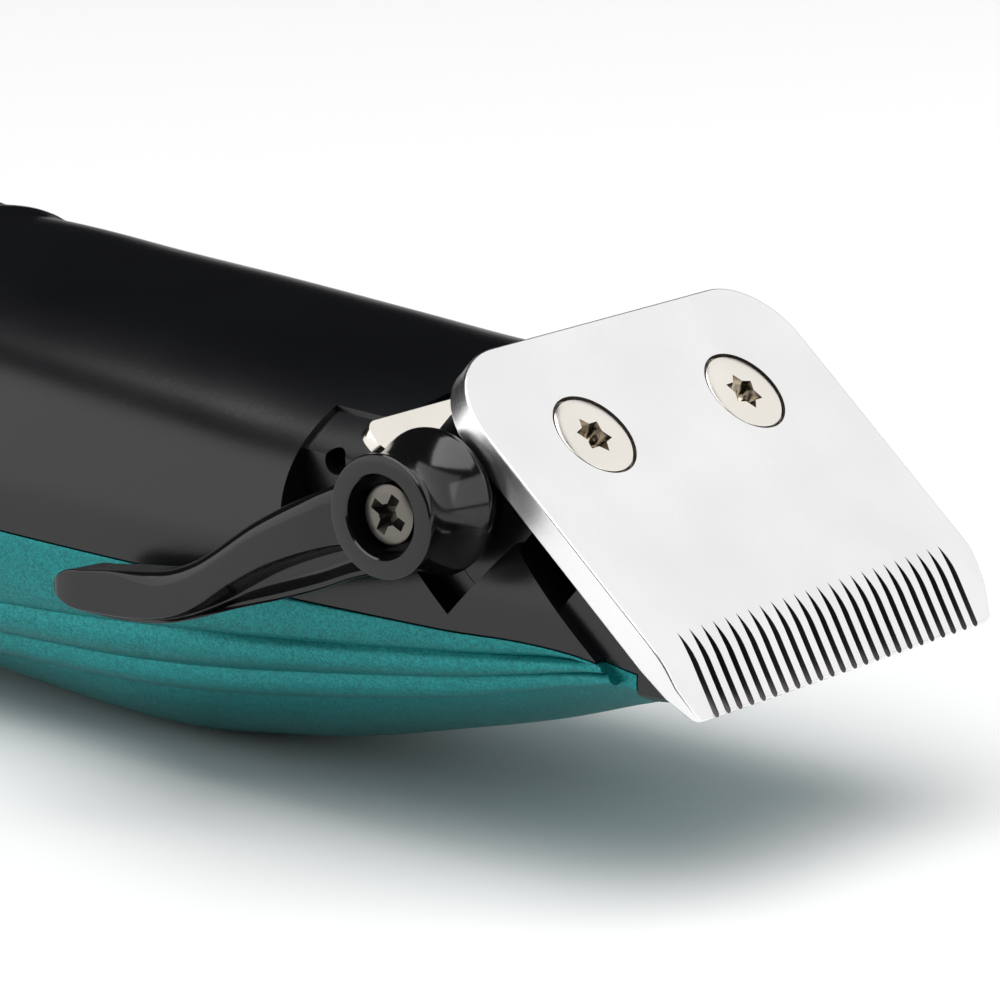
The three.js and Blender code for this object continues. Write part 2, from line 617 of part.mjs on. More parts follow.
// shaft through the side cheek, with an eccentric pin that works in the bracket's fork
function eccentricShaft() {
  const pin = leverShaftPlace(0);
  const pinX = BLADE_ORIGIN.x + pin.s * Math.cos(BLADE_TILT) + pin.n * Math.sin(BLADE_TILT);
  const pinZ = BLADE_ORIGIN.z - pin.s * Math.sin(BLADE_TILT) + pin.n * Math.cos(BLADE_TILT);
  const shaft = joined(
    rod('y', -24.7, -17.1, 2.2, [LEVER_X, LEVER_Z], null, 24),
    rod('y', -17.2, -15.5, 1.4, [pinX, pinZ], null, 16),
  );
  return cut(shaft, rod('y', -30, -18, 1.5, [LEVER_X, LEVER_Z], null, 16));
}

function addTaperLever() {
  addPiece('taper_lever', 'lever_plastic', taperLever());
  addPiece('lever_screw', 'dark_steel', leverScrew());
  addPiece('eccentric_shaft', 'brass', eccentricShaft());
}

// ---------- magnetic drive ----------
function addMotor() {
  const legs = [[-CORE_HALF, -13.4], [-5, 5], [13.4, CORE_HALF]];
  const teeth = legs.map(([y0, y1]) => block(-30, 0, y0, y1, ...CORE_Z));
  const yokeBar = block(CORE_REAR, -29, -CORE_HALF, CORE_HALF, ...CORE_Z);
  const holes = CORE_SCREWS.map(([, x, y]) => rod('z', 0, 60, 1.9, [x, y], null, 16));
  addPiece('core_stack', 'lamination', cut(joined(yokeBar, ...teeth), ...holes));
  CORE_SCREWS.forEach(([side, x, y]) => {
    addPiece(`core_screw_${side}`, 'dark_steel', downScrew(x, y, 30.4, 2.8, 2, 1.3, 23));
  });
  const { rear, front, half, low, high, flange } = BOBBIN;
  const tube = block(rear, front, -6.4, 6.4, 10.6, 29.4);
  const flanges = [rear, front - flange].map((x) => block(x, x + flange, -half, half, low, high));
  const legHole = block(-40, 10, -5.3, 5.3, 11.7, 28.3);
  addPiece('coil_bobbin', 'white_nylon', cut(joined(tube, ...flanges), legHole));
  const winding = block(-26.9, -3.1, -12.2, 12.2, 7.6, 32.4);
  addPiece('coil_winding', 'copper', cut(winding, block(-40, 10, -6.7, 6.7, 10.3, 29.7)));
}

function addDriveArm() {
  addPiece('armature_block', 'lamination', block(1.5, 8.5, -15.5, 15.5, ...CORE_Z));
  const bar = block(8.8, 59.5, -3.4, 3.4, ...ARM_Z);
  const head = block(8.8, 12, -9, 9, ARM_Z[0] - 1, ARM_Z[1] + 6);
  const eye = rod('z', ARM_Z[0] - 1, ARM_Z[1] + 6, 6, [PIVOT_X, 0], null, 28);
  const springPad = block(SPRING_X - 3.2, SPRING_X + 3.2, -4.2, 4.2, ARM_Z[0], 27);
  const noseTrim = block(0, 40, -20, 20, -9.2, 20, bladeMatrix);
  const bushHole = rod('z', 0, 60, 3.5, [PIVOT_X, 0], null, 24);
  const arm = cut(joined(bar, head, eye, springPad), bushHole, noseTrim);
  const peg = rod('z', -15.5, -5.3, 1.8, [PEG_S, 0], bladeMatrix, 16);
  addPiece('drive_arm', 'grey_nylon', joined(arm, peg));
  const bush = rod('z', ARM_Z[0] - 1, ARM_Z[1] + 6, 3.2, [PIVOT_X, 0], null, 24);
  addPiece('pivot_bush', 'brass', cut(bush, rod('z', 0, 60, 2.3, [PIVOT_X, 0], null, 20)));
  addPiece('pivot_pin', 'spring_steel', rod('z', 5, 28, 2, [PIVOT_X, 0], null, 20));
}

// coil spring along Y beside the drive arm
function coilSpring(y0, y1, turns, radius, wireRadius) {
  const points = [];
  const perTurn = 8;
  for (let i = 0; i <= turns * perTurn; i += 1) {
    const angle = (2 * Math.PI * i) / perTurn;
    const y = THREE.MathUtils.lerp(y0, y1, i / (turns * perTurn));
    points.push([SPRING_X + radius * Math.cos(angle), y, 24.5 + radius * Math.sin(angle)]);
  }
  return wire(points, wireRadius, turns * perTurn, 5);
}

function addTuningSprings() {
  addPiece('centring_spring_left', 'spring_steel', coilSpring(-10.8, -5.8, 4, 2, 0.35));
  addPiece('centring_spring_right', 'spring_steel', coilSpring(5.8, 10.8, 4, 2, 0.35));
  const shank = rod('y', 12, 21.2, 1.7, [SPRING_X, 24.5], null, 16);
  const head = rod('y', 20.9, 22.6, 3.2, [SPRING_X, 24.5], null, 20);
  const seat = rod('y', 11.5, 12.6, 2.9, [SPRING_X, 24.5], null, 16);
  const slot = block(SPRING_X - 4, SPRING_X + 4, 21.8, 24, 24.1, 24.9);
  addPiece('power_screw', 'dark_steel', cut(joined(shank, head, seat), slot));
}

// ---------- switch, terminals and wires ----------
function addSwitch() {
  const stem = block(SWITCH_X - 2.2, SWITCH_X + 2.2, 15.4, 23.2, SWITCH_Z - 1.1, SWITCH_Z + 1.1);
  const cap = block(SWITCH_X - 6.7, SWITCH_X + 6.7, 22.6, 24.2, SWITCH_Z - 2.6, SWITCH_Z + 2.6);
  const ridges = [-4, -2, 0, 2, 4].map((x) => block(SWITCH_X + x - 0.4, SWITCH_X + x + 0.4, 24.1, 24.8,
    SWITCH_Z - 2.2, SWITCH_Z + 2.2));
  addPiece('switch_slider', 'lever_plastic', joined(stem, cap, ...ridges));
  const box = block(SWITCH_X - 5, SWITCH_X + 9, 10, 18, SWITCH_Z - 4.5, SWITCH_Z + 4);
  const groove = block(SWITCH_X - 2.6, SWITCH_X + SWITCH_TRAVEL + 2.6, 15, 20,
    SWITCH_Z - 1.5, SWITCH_Z + 1.5);
  addPiece('switch_body', 'grey_nylon', cut(box, groove));
}

function addWiring() {
  const terminalHoles = [-9, -2].map((y) => rod('x', -70, -40, 1.3, [y, 17], null, 12));
  addPiece('terminal_block', 'white_nylon', cut(block(-58, -48, -12, 2, 13, 21), ...terminalHoles));
  const coilLead = [[-46.9, -5.5, 17], [-44, -5.3, 20], [-40.5, -5, 28], [-34, -5, 31.2],
    [-28.8, -5, 31.5]];
  const linkLead = [[-1.2, 6, 31], [3, 8, 31.6], [8.5, 11.2, 31.4], [11.6, 12.4, 29.8]];
  const supplyLead = [[13.5, 14.8, 29.8], [9.5, 14.6, 31.1], [3, 14.5, 31.2], [-10, 14.4, 31.6],
    [-33, 13.5, 32], [-38, 12.2, 31.4], [-42, 9, 26], [-45.4, 3, 19], [-46.9, -1, 16]];
  addPiece('coil_lead', 'wire_blue', wire(coilLead, 0.8, 12));
  addPiece('switch_to_coil_lead', 'wire_brown', wire(linkLead, 0.8, 8));
  addPiece('switch_supply_lead', 'wire_brown', wire(supplyLead, 0.8, 24));
}

addHousing();
addCordInlet();
addBladeSet();
addCutter();
addTensionSpring();
addTaperLever();
addMotor();
addDriveArm();
addTuningSprings();
addSwitch();
addWiring();

export default clipper;
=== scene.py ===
"""Looks of the pet clipper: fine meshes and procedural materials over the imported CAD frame.

The clipper lies on its coloured back. +X runs to the blade, -Y is the lever side, +Z is up.
Shapes are worked out in millimetres and written to the meshes in metres.
"""
import bmesh
import bpy
import math
from mathutils import Matrix, Vector


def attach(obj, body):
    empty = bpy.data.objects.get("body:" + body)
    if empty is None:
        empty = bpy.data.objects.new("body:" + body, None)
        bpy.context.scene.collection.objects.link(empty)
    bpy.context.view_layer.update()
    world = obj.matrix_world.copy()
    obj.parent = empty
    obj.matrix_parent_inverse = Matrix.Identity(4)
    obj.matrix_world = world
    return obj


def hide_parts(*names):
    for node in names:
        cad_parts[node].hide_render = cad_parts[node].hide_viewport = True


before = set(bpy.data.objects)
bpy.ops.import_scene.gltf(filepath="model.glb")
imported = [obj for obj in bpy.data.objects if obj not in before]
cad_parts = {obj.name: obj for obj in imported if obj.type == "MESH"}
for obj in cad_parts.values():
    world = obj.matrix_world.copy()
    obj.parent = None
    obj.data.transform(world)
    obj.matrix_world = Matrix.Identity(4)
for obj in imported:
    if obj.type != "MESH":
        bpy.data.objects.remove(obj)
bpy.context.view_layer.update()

MM = 0.001
GAP = 0.3
SEAM = 0.14
WALL = 2.2

# body lines: [x, value]
TAIL_X = -97
TAIL_ROUND_X = -80
TAIL_Z = 21
TAIL_FLAT = 0.42
SQUARENESS = 2.5
SQUARENESS_LOW = 2.2
HULL_FRONT_X = 80
BACK_FRONT_X = 71.5
CROWN = [(-80, 37), (-55, 39.7), (-32, 40.1), (-18, 40), (-7, 39.4), (6, 38.9), (20, 38.2), (31, 37.6),
         (50, 37.1), (80, 36.5)]
BELLY = [(-80, 8.2), (-50, 4.3), (-25, 1.8), (-8, 0.3), (7, -0.6), (15, -0.4), (22, 0.7), (31, 2.4),
         (43, 5.7), (53, 8.7), (62, 12), (70, 14.7), (80, 17)]
HALF_WIDTH = [(-80, 17), (-60, 19.2), (-42, 21.2), (-10, 23.3), (20, 23.6), (50, 23.3), (80, 22.6)]
PARTING = [(-97, 21), (-60, 20.4), (-20, 19.8), (15, 19.6), (51.5, 20.2), (60, 20.7), (66, 20.6),
           (72, 19.8), (80, 19.6)]

# creases between the rolls on the coloured back, and how deep they are
CREASES = [
    [(-75, 12.2), (-28, 10.4), (2, 12.2), (21, 14), (39, 16.2), (52, 18), (59, 19.1), (65, 20.2), (72, 21)],
    [(-75, 10.6), (-28, 7), (2, 8.7), (21, 10.2), (39, 13), (52, 15.4), (59, 17.1), (68, 19.4), (72, 20.2)],
    [(-75, 9.2), (-28, 4.6), (2, 6.2), (21, 7.4), (39, 10.4), (52, 13.2), (61, 16), (70, 18.6), (72, 19.3)],
]
CREASE_DEPTH = 0.9
ROLL_SHARE = 0.4
FIRST_ROLL_SHARE = 0.5

# grip steps across the rear of the underside
GRIP_START = -22.6
GRIP_PITCH = 5.6
GRIP_COUNT = 8
GRIP_HEIGHT = 0.6

# blade frame: x along the blade to the teeth, y across, z out of the blade's outer face
BLADE_TILT = math.radians(39.7)
BLADE = Matrix.Translation((58, 0, 36)) @ Matrix.Rotation(BLADE_TILT, 4, "Y")
BLADE_REAR = -10.7
BLADE_HALF = 23
BLADE_THICK = 2.5
BEVEL_START = 21.6
BEVEL_ANGLE = math.radians(19.6)
BLADE_TIP = 27.35
TOOTH_PITCH = 1.648
SLOT_COUNT = 24
SCREW_SPACING = 21.5
BAY_FLOOR = -12
BAY_REAR = -13.2
BAY_FRONT = 4.9
BAY_HALF = 20.1
CHEEK_OUT = 21.8
CHEEK_STEP = 11.8
DECK = -5.6
DECK_THICK = 3
NOSE_END = 24.2
BRACKET_TOP = -10.5
BRACKET_LOW = -11.7
SEAT_TOP = -3.1

# pocket left of the lever hub
POCKET_RADIUS = 18.4
POCKET_FLAT = -18.8
POCKET_END = -14.9
POCKET_STEP = 0.45
POCKET_LOW = -22.5
POCKET_FRONT = -8
POCKET_HOLE = (36.3, 31.2)
POCKET_HOLE_RADIUS = 1.15
POCKET_HOLE_DEPTH = 1.8

# screw posts and cord inlet
POST_RADIUS = 3.6
INLET_RADIUS = 5.3
BOSS_SLOT_RADIUS = 4.6
TAPER_TRAVEL = 1.5

# taper lever
LEVER_X = 51.2
LEVER_Z = 31.4
HUB_FACE_Y = -31.1


# ---------- curves and meshes ----------
def line_through(points):
    """Smooth curve through [x, value] points."""
    last = len(points) - 1
    slope = []
    for i in range(last + 1):
        before, after = points[max(i - 1, 0)], points[min(i + 1, last)]
        slope.append((after[1] - before[1]) / (after[0] - before[0]))

    def value(x):
        x = min(max(x, points[0][0]), points[last][0])
        i = 0
        while i < last - 1 and x > points[i + 1][0]:
            i += 1
        span = points[i + 1][0] - points[i][0]
        t = (x - points[i][0]) / span
        start = (1 + 2 * t) * (1 - t) ** 2 * points[i][1] + t * (1 - t) ** 2 * span * slope[i]
        end = t * t * (3 - 2 * t) * points[i + 1][1] + t * t * (t - 1) * span * slope[i + 1]
        return start + end

    return value


crown_at, belly_at = line_through(CROWN), line_through(BELLY)
half_width_at, parting_at = line_through(HALF_WIDTH), line_through(PARTING)
crease_at = [line_through(points) for points in CREASES]


def lerp(a, b, t):
    return a + (b - a) * t


def signed_power(value, power):
    return math.copysign(abs(value) ** power, value)


def smooth_step(t):
    t = min(max(t, 0), 1)
    return t * t * (3 - 2 * t)


def mesh_object(name, verts, faces, matrix=None):
    """Object from millimetre points, with its normals facing out."""
    mesh = bpy.data.meshes.new(name)
    place = matrix or Matrix.Identity(4)
    mesh.from_pydata([(place @ Vector(v)) * MM for v in verts], [], faces)
    work = bmesh.new()
    work.from_mesh(mesh)
    bmesh.ops.remove_doubles(work, verts=work.verts, dist=1e-7)
    bmesh.ops.recalc_face_normals(work, faces=work.faces)
    work.to_mesh(mesh)
    work.free()
    piece = bpy.data.objects.new(name, mesh)
    bpy.context.scene.collection.objects.link(piece)
    return piece


def tube(name, rings, matrix=None):
    """Closed solid through rings of equal length, with flat ends."""
    count = len(rings[0])
    verts = [point for ring in rings for point in ring]
    faces = []
    for i in range(len(rings) - 1):
        for j in range(count):
            k = (j + 1) % count
            faces.append((i * count + j, i * count + k, (i + 1) * count + k, (i + 1) * count + j))
    faces.append(tuple(range(count)))
    faces.append(tuple((len(rings) - 1) * count + j for j in range(count)))
    return mesh_object(name, verts, faces, matrix)


def lathe(name, profile, axis="z", centre=(0, 0), matrix=None, sides=64):
    """Closed solid of revolution. profile holds (radius, height) from one end to the other."""
    rings = []
    for radius, height in profile:
        ring = []
        for j in range(sides):
            angle = 2 * math.pi * j / sides
            a, b = max(radius, 0.001) * math.cos(angle), max(radius, 0.001) * math.sin(angle)
            if axis == "x":
                ring.append((height, centre[0] + a, centre[1] + b))
            elif axis == "y":
                ring.append((centre[0] + a, height, centre[1] + b))
            else:
                ring.append((centre[0] + a, centre[1] + b, height))
        rings.append(ring)
    return tube(name, rings, matrix)


def rod(axis, low, high, radius, centre, matrix=None, sides=64):
    return lathe("cutter", [(radius, low), (radius, high)], axis, centre, matrix, sides)


def block(x0, x1, y0, y1, z0, z1, matrix=None):
    rings = [[(x, y0, z0), (x, y1, z0), (x, y1, z1), (x, y0, z1)] for x in (x0, x1)]
    return tube("cutter", rings, matrix)


def plate(points, z0, z1, matrix=None):
    rings = [[(x, y, z) for x, y in points] for z in (z0, z1)]
    return tube("cutter", rings, matrix)


def side_profile(points, y0, y1, matrix=None):
    rings = [[(x, y, z) for x, z in points] for y in (y0, y1)]
    return tube("cutter", rings, matrix)


def apply_modifiers(piece):
    graph = bpy.context.evaluated_depsgraph_get()
    mesh = bpy.data.meshes.new_from_object(piece.evaluated_get(graph))
    piece.modifiers.clear()
    piece.data = mesh


def combine(piece, others, operation):
    for other in others:
        step = piece.modifiers.new("combine", "BOOLEAN")
        step.operation = operation
        step.solver = "MANIFOLD"
        step.object = other
        apply_modifiers(piece)
        bpy.data.objects.remove(other)
    return piece


def cut(piece, *others):
    return combine(piece, others, "DIFFERENCE")


def joined(piece, *others):
    return combine(piece, others, "UNION")


def kept_inside(piece, other):
    return combine(piece, [other], "INTERSECT")


def round_edges(piece, width, angle=40, segments=2):
    """Rounds every edge sharper than the angle, by a width in millimetres."""
    step = piece.modifiers.new("round", "BEVEL")
    step.width = width * MM
    step.segments = segments
    step.limit_method = "ANGLE"
    step.angle_limit = math.radians(angle)
    step.use_clamp_overlap = True
    apply_modifiers(piece)
    return piece


def finish_piece(piece, name, material, body, replaces=(), sharp=35):
    """Names the piece, shades it smooth between sharp edges and hangs it on its body."""
    work = bmesh.new()
    work.from_mesh(piece.data)
    bmesh.ops.dissolve_degenerate(work, edges=work.edges, dist=1e-7)
    for face in work.faces:
        face.smooth = True
    for edge in work.edges:
        edge.smooth = len(edge.link_faces) == 2 and edge.calc_face_angle() < math.radians(sharp)
    work.to_mesh(piece.data)
    work.free()
    piece.name = name
    piece.data.name = name
    if len(piece.data.materials) < 2:
        piece.data.materials.clear()
        piece.data.materials.append(None)
    piece.data.materials[0] = material
    step = piece.modifiers.new("normals", "WEIGHTED_NORMAL")
    step.keep_sharp = True
    step.weight = 50
    apply_modifiers(piece)
    piece.data.name = name
    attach(piece, body)
    if replaces:
        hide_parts(*replaces)
    return piece


def new_material(slot, **settings):
    material = bpy.data.materials.new("look_" + slot)
    material.use_nodes = True
    shader = material.node_tree.nodes["Principled BSDF"]
    for key, value in settings.items():
        shader.inputs[key.replace("_", " ")].default_value = value
    return material


def link(material, source, target):
    material.node_tree.links.new(source, target)


def node(material, kind, **settings):
    made = material.node_tree.nodes.new(kind)
    for key, value in settings.items():
        setattr(made, key, value)
    return made


def shader_of(material):
    return material.node_tree.nodes["Principled BSDF"]


def texture_space(material, stretch=(1, 1, 1), turn=0.0):
    """Object coordinates in metres, stretched along the axes after a turn about Y."""
    coordinates = node(material, "ShaderNodeTexCoord")
    mapping = node(material, "ShaderNodeMapping")
    mapping.inputs["Rotation"].default_value = (0, turn, 0)
    mapping.inputs["Scale"].default_value = stretch
    link(material, coordinates.outputs["Object"], mapping.inputs["Vector"])
    return mapping.outputs["Vector"]


def noise(material, space, scale, detail=3.0, roughness=0.5):
    made = node(material, "ShaderNodeTexNoise")
    made.inputs["Scale"].default_value = scale
    made.inputs["Detail"].default_value = detail
    made.inputs["Roughness"].default_value = roughness
    link(material, space, made.inputs["Vector"])
    return made.outputs["Fac"]


def ramp(material, source, low, high, start=0.3, end=0.7):
    made = node(material, "ShaderNodeValToRGB")
    made.color_ramp.elements[0].position = start
    made.color_ramp.elements[1].position = end
    made.color_ramp.elements[0].color = (*low, 1)
    made.color_ramp.elements[1].color = (*high, 1)
    link(material, source, made.inputs["Fac"])
    return made.outputs["Color"]


def to_range(material, source, low, high, start=0.3, end=0.7):
    made = node(material, "ShaderNodeMapRange")
    made.inputs["From Min"].default_value = start
    made.inputs["From Max"].default_value = end
    made.inputs["To Min"].default_value = low
    made.inputs["To Max"].default_value = high
    link(material, source, made.inputs["Value"])
    return made.outputs["Result"]


def bump(material, height, distance, strength=1.0):
    made = node(material, "ShaderNodeBump")
    made.inputs["Strength"].default_value = strength
    made.inputs["Distance"].default_value = distance
    link(material, height, made.inputs["Height"])
    return made.outputs["Normal"]


def moulded_plastic(slot, dark, light, roughness, grain=0.000012, grain_scale=2600):
    """Moulded plastic: a fine spark-eroded grain, with slow changes in gloss and shade."""
    material = new_material(slot)
    space = texture_space(material)
    slow = noise(material, space, 45, 3)
    fine = noise(material, space, grain_scale, 2)
    shader = shader_of(material)
    link(material, ramp(material, slow, dark, light), shader.inputs["Base Color"])
    gloss = to_range(material, slow, roughness * 0.92, roughness * 1.1)
    link(material, gloss, shader.inputs["Roughness"])
    link(material, bump(material, fine, grain, 0.6), shader.inputs["Normal"])
    return material


def teal_paint():
    """Metallic paint: fine bright flakes in a teal base, under a satin clear coat."""
    material = new_material("teal_paint", Metallic=0.72, Coat_Weight=0.15, Coat_Roughness=0.3)
    space = texture_space(material)
    flakes = node(material, "ShaderNodeTexVoronoi")
    flakes.inputs["Scale"].default_value = 6500
    link(material, space, flakes.inputs["Vector"])
    sparkle = node(material, "ShaderNodeSeparateColor")
    link(material, flakes.outputs["Color"], sparkle.inputs["Color"])
    slow = noise(material, space, 1800, 2)
    shader = shader_of(material)
    base = ramp(material, sparkle.outputs["Red"], (0.004, 0.15, 0.155), (0.012, 0.28, 0.28), 0.0, 1.0)
    tint = node(material, "ShaderNodeMixRGB", blend_type="MULTIPLY")
    tint.inputs["Fac"].default_value = 0.5
    link(material, base, tint.inputs["Color1"])
    link(material, ramp(material, slow, (0.78, 0.8, 0.8), (1, 1, 1)), tint.inputs["Color2"])
    link(material, tint.outputs["Color"], shader.inputs["Base Color"])
    gloss = to_range(material, sparkle.outputs["Green"], 0.36, 0.5, 0, 1)
    link(material, gloss, shader.inputs["Roughness"])
    link(material, bump(material, sparkle.outputs["Blue"], 0.000012, 0.35), shader.inputs["Normal"])
    return material


def brushed_metal(slot, dark, light, roughness, turn=0.0, stretch=(1, 1, 1), scale=900, depth=0.000004):
    """Metal with a ground finish: fine lines where the space is stretched, and cloudy polish marks."""
    material = new_material(slot, Metallic=1.0)
    lined = texture_space(material, stretch, turn)
    space = texture_space(material)
    lines = noise(material, lined, scale, 3)
    clouds = noise(material, space, 110, 2, 0.4)
    shader = shader_of(material)
    link(material, ramp(material, clouds, dark, light, 0.2, 0.8), shader.inputs["Base Color"])
    low, high = roughness * 0.85, roughness * 1.2
    link(material, to_range(material, clouds, low, high, 0.2, 0.8), shader.inputs["Roughness"])
    link(material, bump(material, lines, depth, 0.5), shader.inputs["Normal"])
    return material


def laminated_steel():
    """A stack of thin steel sheets: fine layers along Z."""
    material = new_material("lamination", Metallic=0.85)
    space = texture_space(material)
    wave = node(material, "ShaderNodeTexWave", wave_type="BANDS", bands_direction="Z")
    wave.inputs["Scale"].default_value = 320
    wave.inputs["Distortion"].default_value = 0.3
    link(material, space, wave.inputs["Vector"])
    rust = noise(material, space, 140, 4)
    shader = shader_of(material)
    tone = ramp(material, rust, (0.16, 0.15, 0.14), (0.28, 0.28, 0.29))
    link(material, tone, shader.inputs["Base Color"])
    link(material, to_range(material, rust, 0.38, 0.6), shader.inputs["Roughness"])
    link(material, bump(material, wave.outputs["Fac"], 0.00008, 0.7), shader.inputs["Normal"])
    return material


def wound_copper():
    """Enamelled wire wound side by side: close round ridges along X."""
    material = new_material("copper_wire", Metallic=0.8, Coat_Weight=0.5, Coat_Roughness=0.15)
    space = texture_space(material)
    wave = node(material, "ShaderNodeTexWave", wave_type="BANDS", bands_direction="X")
    wave.inputs["Scale"].default_value = 420
    wave.inputs["Distortion"].default_value = 0.4
    link(material, space, wave.inputs["Vector"])
    shade = noise(material, space, 200, 3)
    shader = shader_of(material)
    tone = ramp(material, shade, (0.30, 0.09, 0.03), (0.55, 0.19, 0.07))
    link(material, tone, shader.inputs["Base Color"])
    link(material, to_range(material, shade, 0.25, 0.4), shader.inputs["Roughness"])
    link(material, bump(material, wave.outputs["Fac"], 0.0001, 0.8), shader.inputs["Normal"])
    return material


BLACK = moulded_plastic("black_plastic", (0.002, 0.0022, 0.003), (0.0035, 0.004, 0.005), 0.25, 0.00001)
LEVER = moulded_plastic("lever_plastic", (0.003, 0.003, 0.0034), (0.005, 0.005, 0.0056), 0.13, 0.000003)
TEAL = teal_paint()
BLADE_STEEL = brushed_metal("blade_steel", (0.84, 0.84, 0.845), (0.92, 0.915, 0.91), 0.26,
                            turn=-BLADE_TILT, stretch=(1, 0.06, 1), scale=1400, depth=0.000002)
NICKEL = brushed_metal("nickel", (0.80, 0.76, 0.69), (0.90, 0.86, 0.79), 0.16,
                       turn=-BLADE_TILT, stretch=(1, 0.15, 1), scale=1200, depth=0.000003)
DARK_STEEL = brushed_metal("dark_steel", (0.12, 0.112, 0.096), (0.2, 0.188, 0.168), 0.32)
# painted shade: steel darkened far below its own tone, for the slot walls, countersink walls and the cutter
# blade seen through the slots
SHADE_DARKENED_STEEL = brushed_metal("blade_steel", (0.13, 0.118, 0.115), (0.2, 0.182, 0.178), 0.45, scale=1500)
# painted shade: nickel darkened for the walls of the star recesses in the blade screws
SHADE_DARKENED_NICKEL = brushed_metal("nickel", (0.2, 0.17, 0.125), (0.52, 0.47, 0.39), 0.16, scale=1500)
SPRING_STEEL = brushed_metal("spring_steel", (0.40, 0.41, 0.42), (0.6, 0.6, 0.61), 0.25)
BRASS = brushed_metal("brass", (0.55, 0.40, 0.16), (0.72, 0.55, 0.26), 0.25)
WHITE_NYLON = moulded_plastic("white_nylon", (0.62, 0.61, 0.57), (0.72, 0.71, 0.67), 0.45)
GREY_NYLON = moulded_plastic("grey_nylon", (0.055, 0.06, 0.065), (0.085, 0.09, 0.095), 0.45)
RUBBER = moulded_plastic("rubber", (0.008, 0.008, 0.008), (0.016, 0.016, 0.016), 0.7, 0.00003, 1500)
WIRE_BROWN = moulded_plastic("wire_brown", (0.09, 0.03, 0.012), (0.13, 0.045, 0.018), 0.5)
WIRE_BLUE = moulded_plastic("wire_blue", (0.01, 0.035, 0.22), (0.018, 0.06, 0.32), 0.5)
LAMINATION = laminated_steel()
COPPER = wound_copper()


# ---------- body ----------
def tail_shrink(x, inset):
    if x >= TAIL_ROUND_X:
        return 1
    reach = (TAIL_ROUND_X - x) / (TAIL_ROUND_X - TAIL_X - inset)
    return TAIL_FLAT + (1 - TAIL_FLAT) * math.sqrt(max(0, 1 - reach * reach))


def stations(inset, tail_steps, body_steps, front_x=HULL_FRONT_X):
    """Section places along the body, closer together where the tail rounds off."""
    reach = TAIL_ROUND_X - TAIL_X - inset
    tail = [TAIL_ROUND_X - reach * math.sin(math.pi / 2 * (1 - i / tail_steps)) for i in range(tail_steps)]
    return tail + [lerp(TAIL_ROUND_X, front_x, i / body_steps) for i in range(body_steps + 1)]


def grip_lift(x, y):
    """Height of the grip steps over the rear of the underside."""
    front = GRIP_START - 0.004 * y * y
    along = (front - x) / GRIP_PITCH
    if along <= 0 or along >= GRIP_COUNT:
        return 0
    sideways = 1 - smooth_step((abs(y) - 12) / 9)
    rear_fade = smooth_step((GRIP_COUNT - along) / 0.8)
    return GRIP_HEIGHT * sideways * rear_fade * math.sin(math.pi * (along % 1) ** 0.62)


def hull_ring(x, inset, sides, grip=False):
    shrink = tail_shrink(x, inset)
    middle = lerp(TAIL_Z, parting_at(x), shrink)
    half = (half_width_at(x) - inset) * shrink
    up = (crown_at(x) - inset - parting_at(x)) * shrink
    down = max((parting_at(x) - belly_at(x) - inset) * shrink, 0.5)
    ring = []
    for j in range(sides):
        angle = 2 * math.pi * j / sides
        c, s = math.cos(angle), math.sin(angle)
        power = 2 / (SQUARENESS if s > 0 else SQUARENESS_LOW)
        y = half * signed_power(c, power)
        z = middle + (up if s > 0 else down) * signed_power(s, power)
        if grip and s > 0:
            z += grip_lift(x, y)
        ring.append((x, y, z))
    return ring


def hull(inset, sides, tail_steps, body_steps, grip=False):
    return tube("hull", [hull_ring(x, inset, sides, grip) for x in stations(inset, tail_steps, body_steps)])


def above_parting_line(shift):
    points = [(x, parting_at(x) + shift) for x in range(TAIL_X - 5, 71, 2)]
    points += [(BACK_FRONT_X + shift, parting_at(BACK_FRONT_X) + shift), (BACK_FRONT_X + shift, -10)]
    points += [(HULL_FRONT_X + 10, -10), (HULL_FRONT_X + 10, 60), (TAIL_X - 5, 60)]
    return side_profile(points, -40, 40)


def nose_cuts():
    under_blade = -BLADE_THICK - GAP
    return [
        block(BAY_REAR, BAY_FRONT, -40, 40, BAY_FLOOR, 40, BLADE),
        block(BAY_FRONT - 1, 40, -BAY_HALF, BAY_HALF, DECK, 40, BLADE),
        block(BAY_FRONT - 1, CHEEK_STEP, -40, 40, DECK, 40, BLADE),
        block(BAY_FRONT - 1, 40, CHEEK_OUT, 40, DECK, 40, BLADE),
        block(BAY_FRONT - 1, 40, -40, -CHEEK_OUT, DECK, 40, BLADE),
        block(BAY_FRONT - 1, 40, -40, 40, under_blade, 40, BLADE),
        block(NOSE_END, 60, -40, 40, -40, 40, BLADE),
    ]


def lever_pocket(grow=0.0):
    """Round pocket beside the lever hub: a flat in its lower part, a shallow step over the crown side."""
    low, front = POCKET_LOW - grow, POCKET_FRONT
    ring = rod("y", -40, POCKET_FLAT + grow, POCKET_RADIUS + grow, (LEVER_X, LEVER_Z), None, 160)
    flat = kept_inside(ring, block(-40, front, -40, 0, low, 20, BLADE))
    ring = rod("y", -40, POCKET_END + grow, POCKET_RADIUS + grow, (LEVER_X, LEVER_Z), None, 160)
    step = kept_inside(ring, block(-40, front, -40, 0, low, 20, BLADE))
    return flat, cut(step, hull(POCKET_STEP + grow, 96, 6, 100))


def cavity():
    inner = hull(WALL, 48, 6, 60)
    return cut(
        inner,
        *lever_pocket(WALL),
        block(BAY_REAR - WALL, BAY_FRONT + WALL, -40, 40, BAY_FLOOR - WALL, 60, BLADE),
        block(BAY_FRONT, 60, -40, 40, DECK - DECK_THICK, 60, BLADE),
        block(NOSE_END - WALL, 60, -40, 40, -40, 60, BLADE),
        block(BAY_REAR, BAY_FRONT + WALL, -30, -19, -16.8, BAY_FLOOR, BLADE),
    )


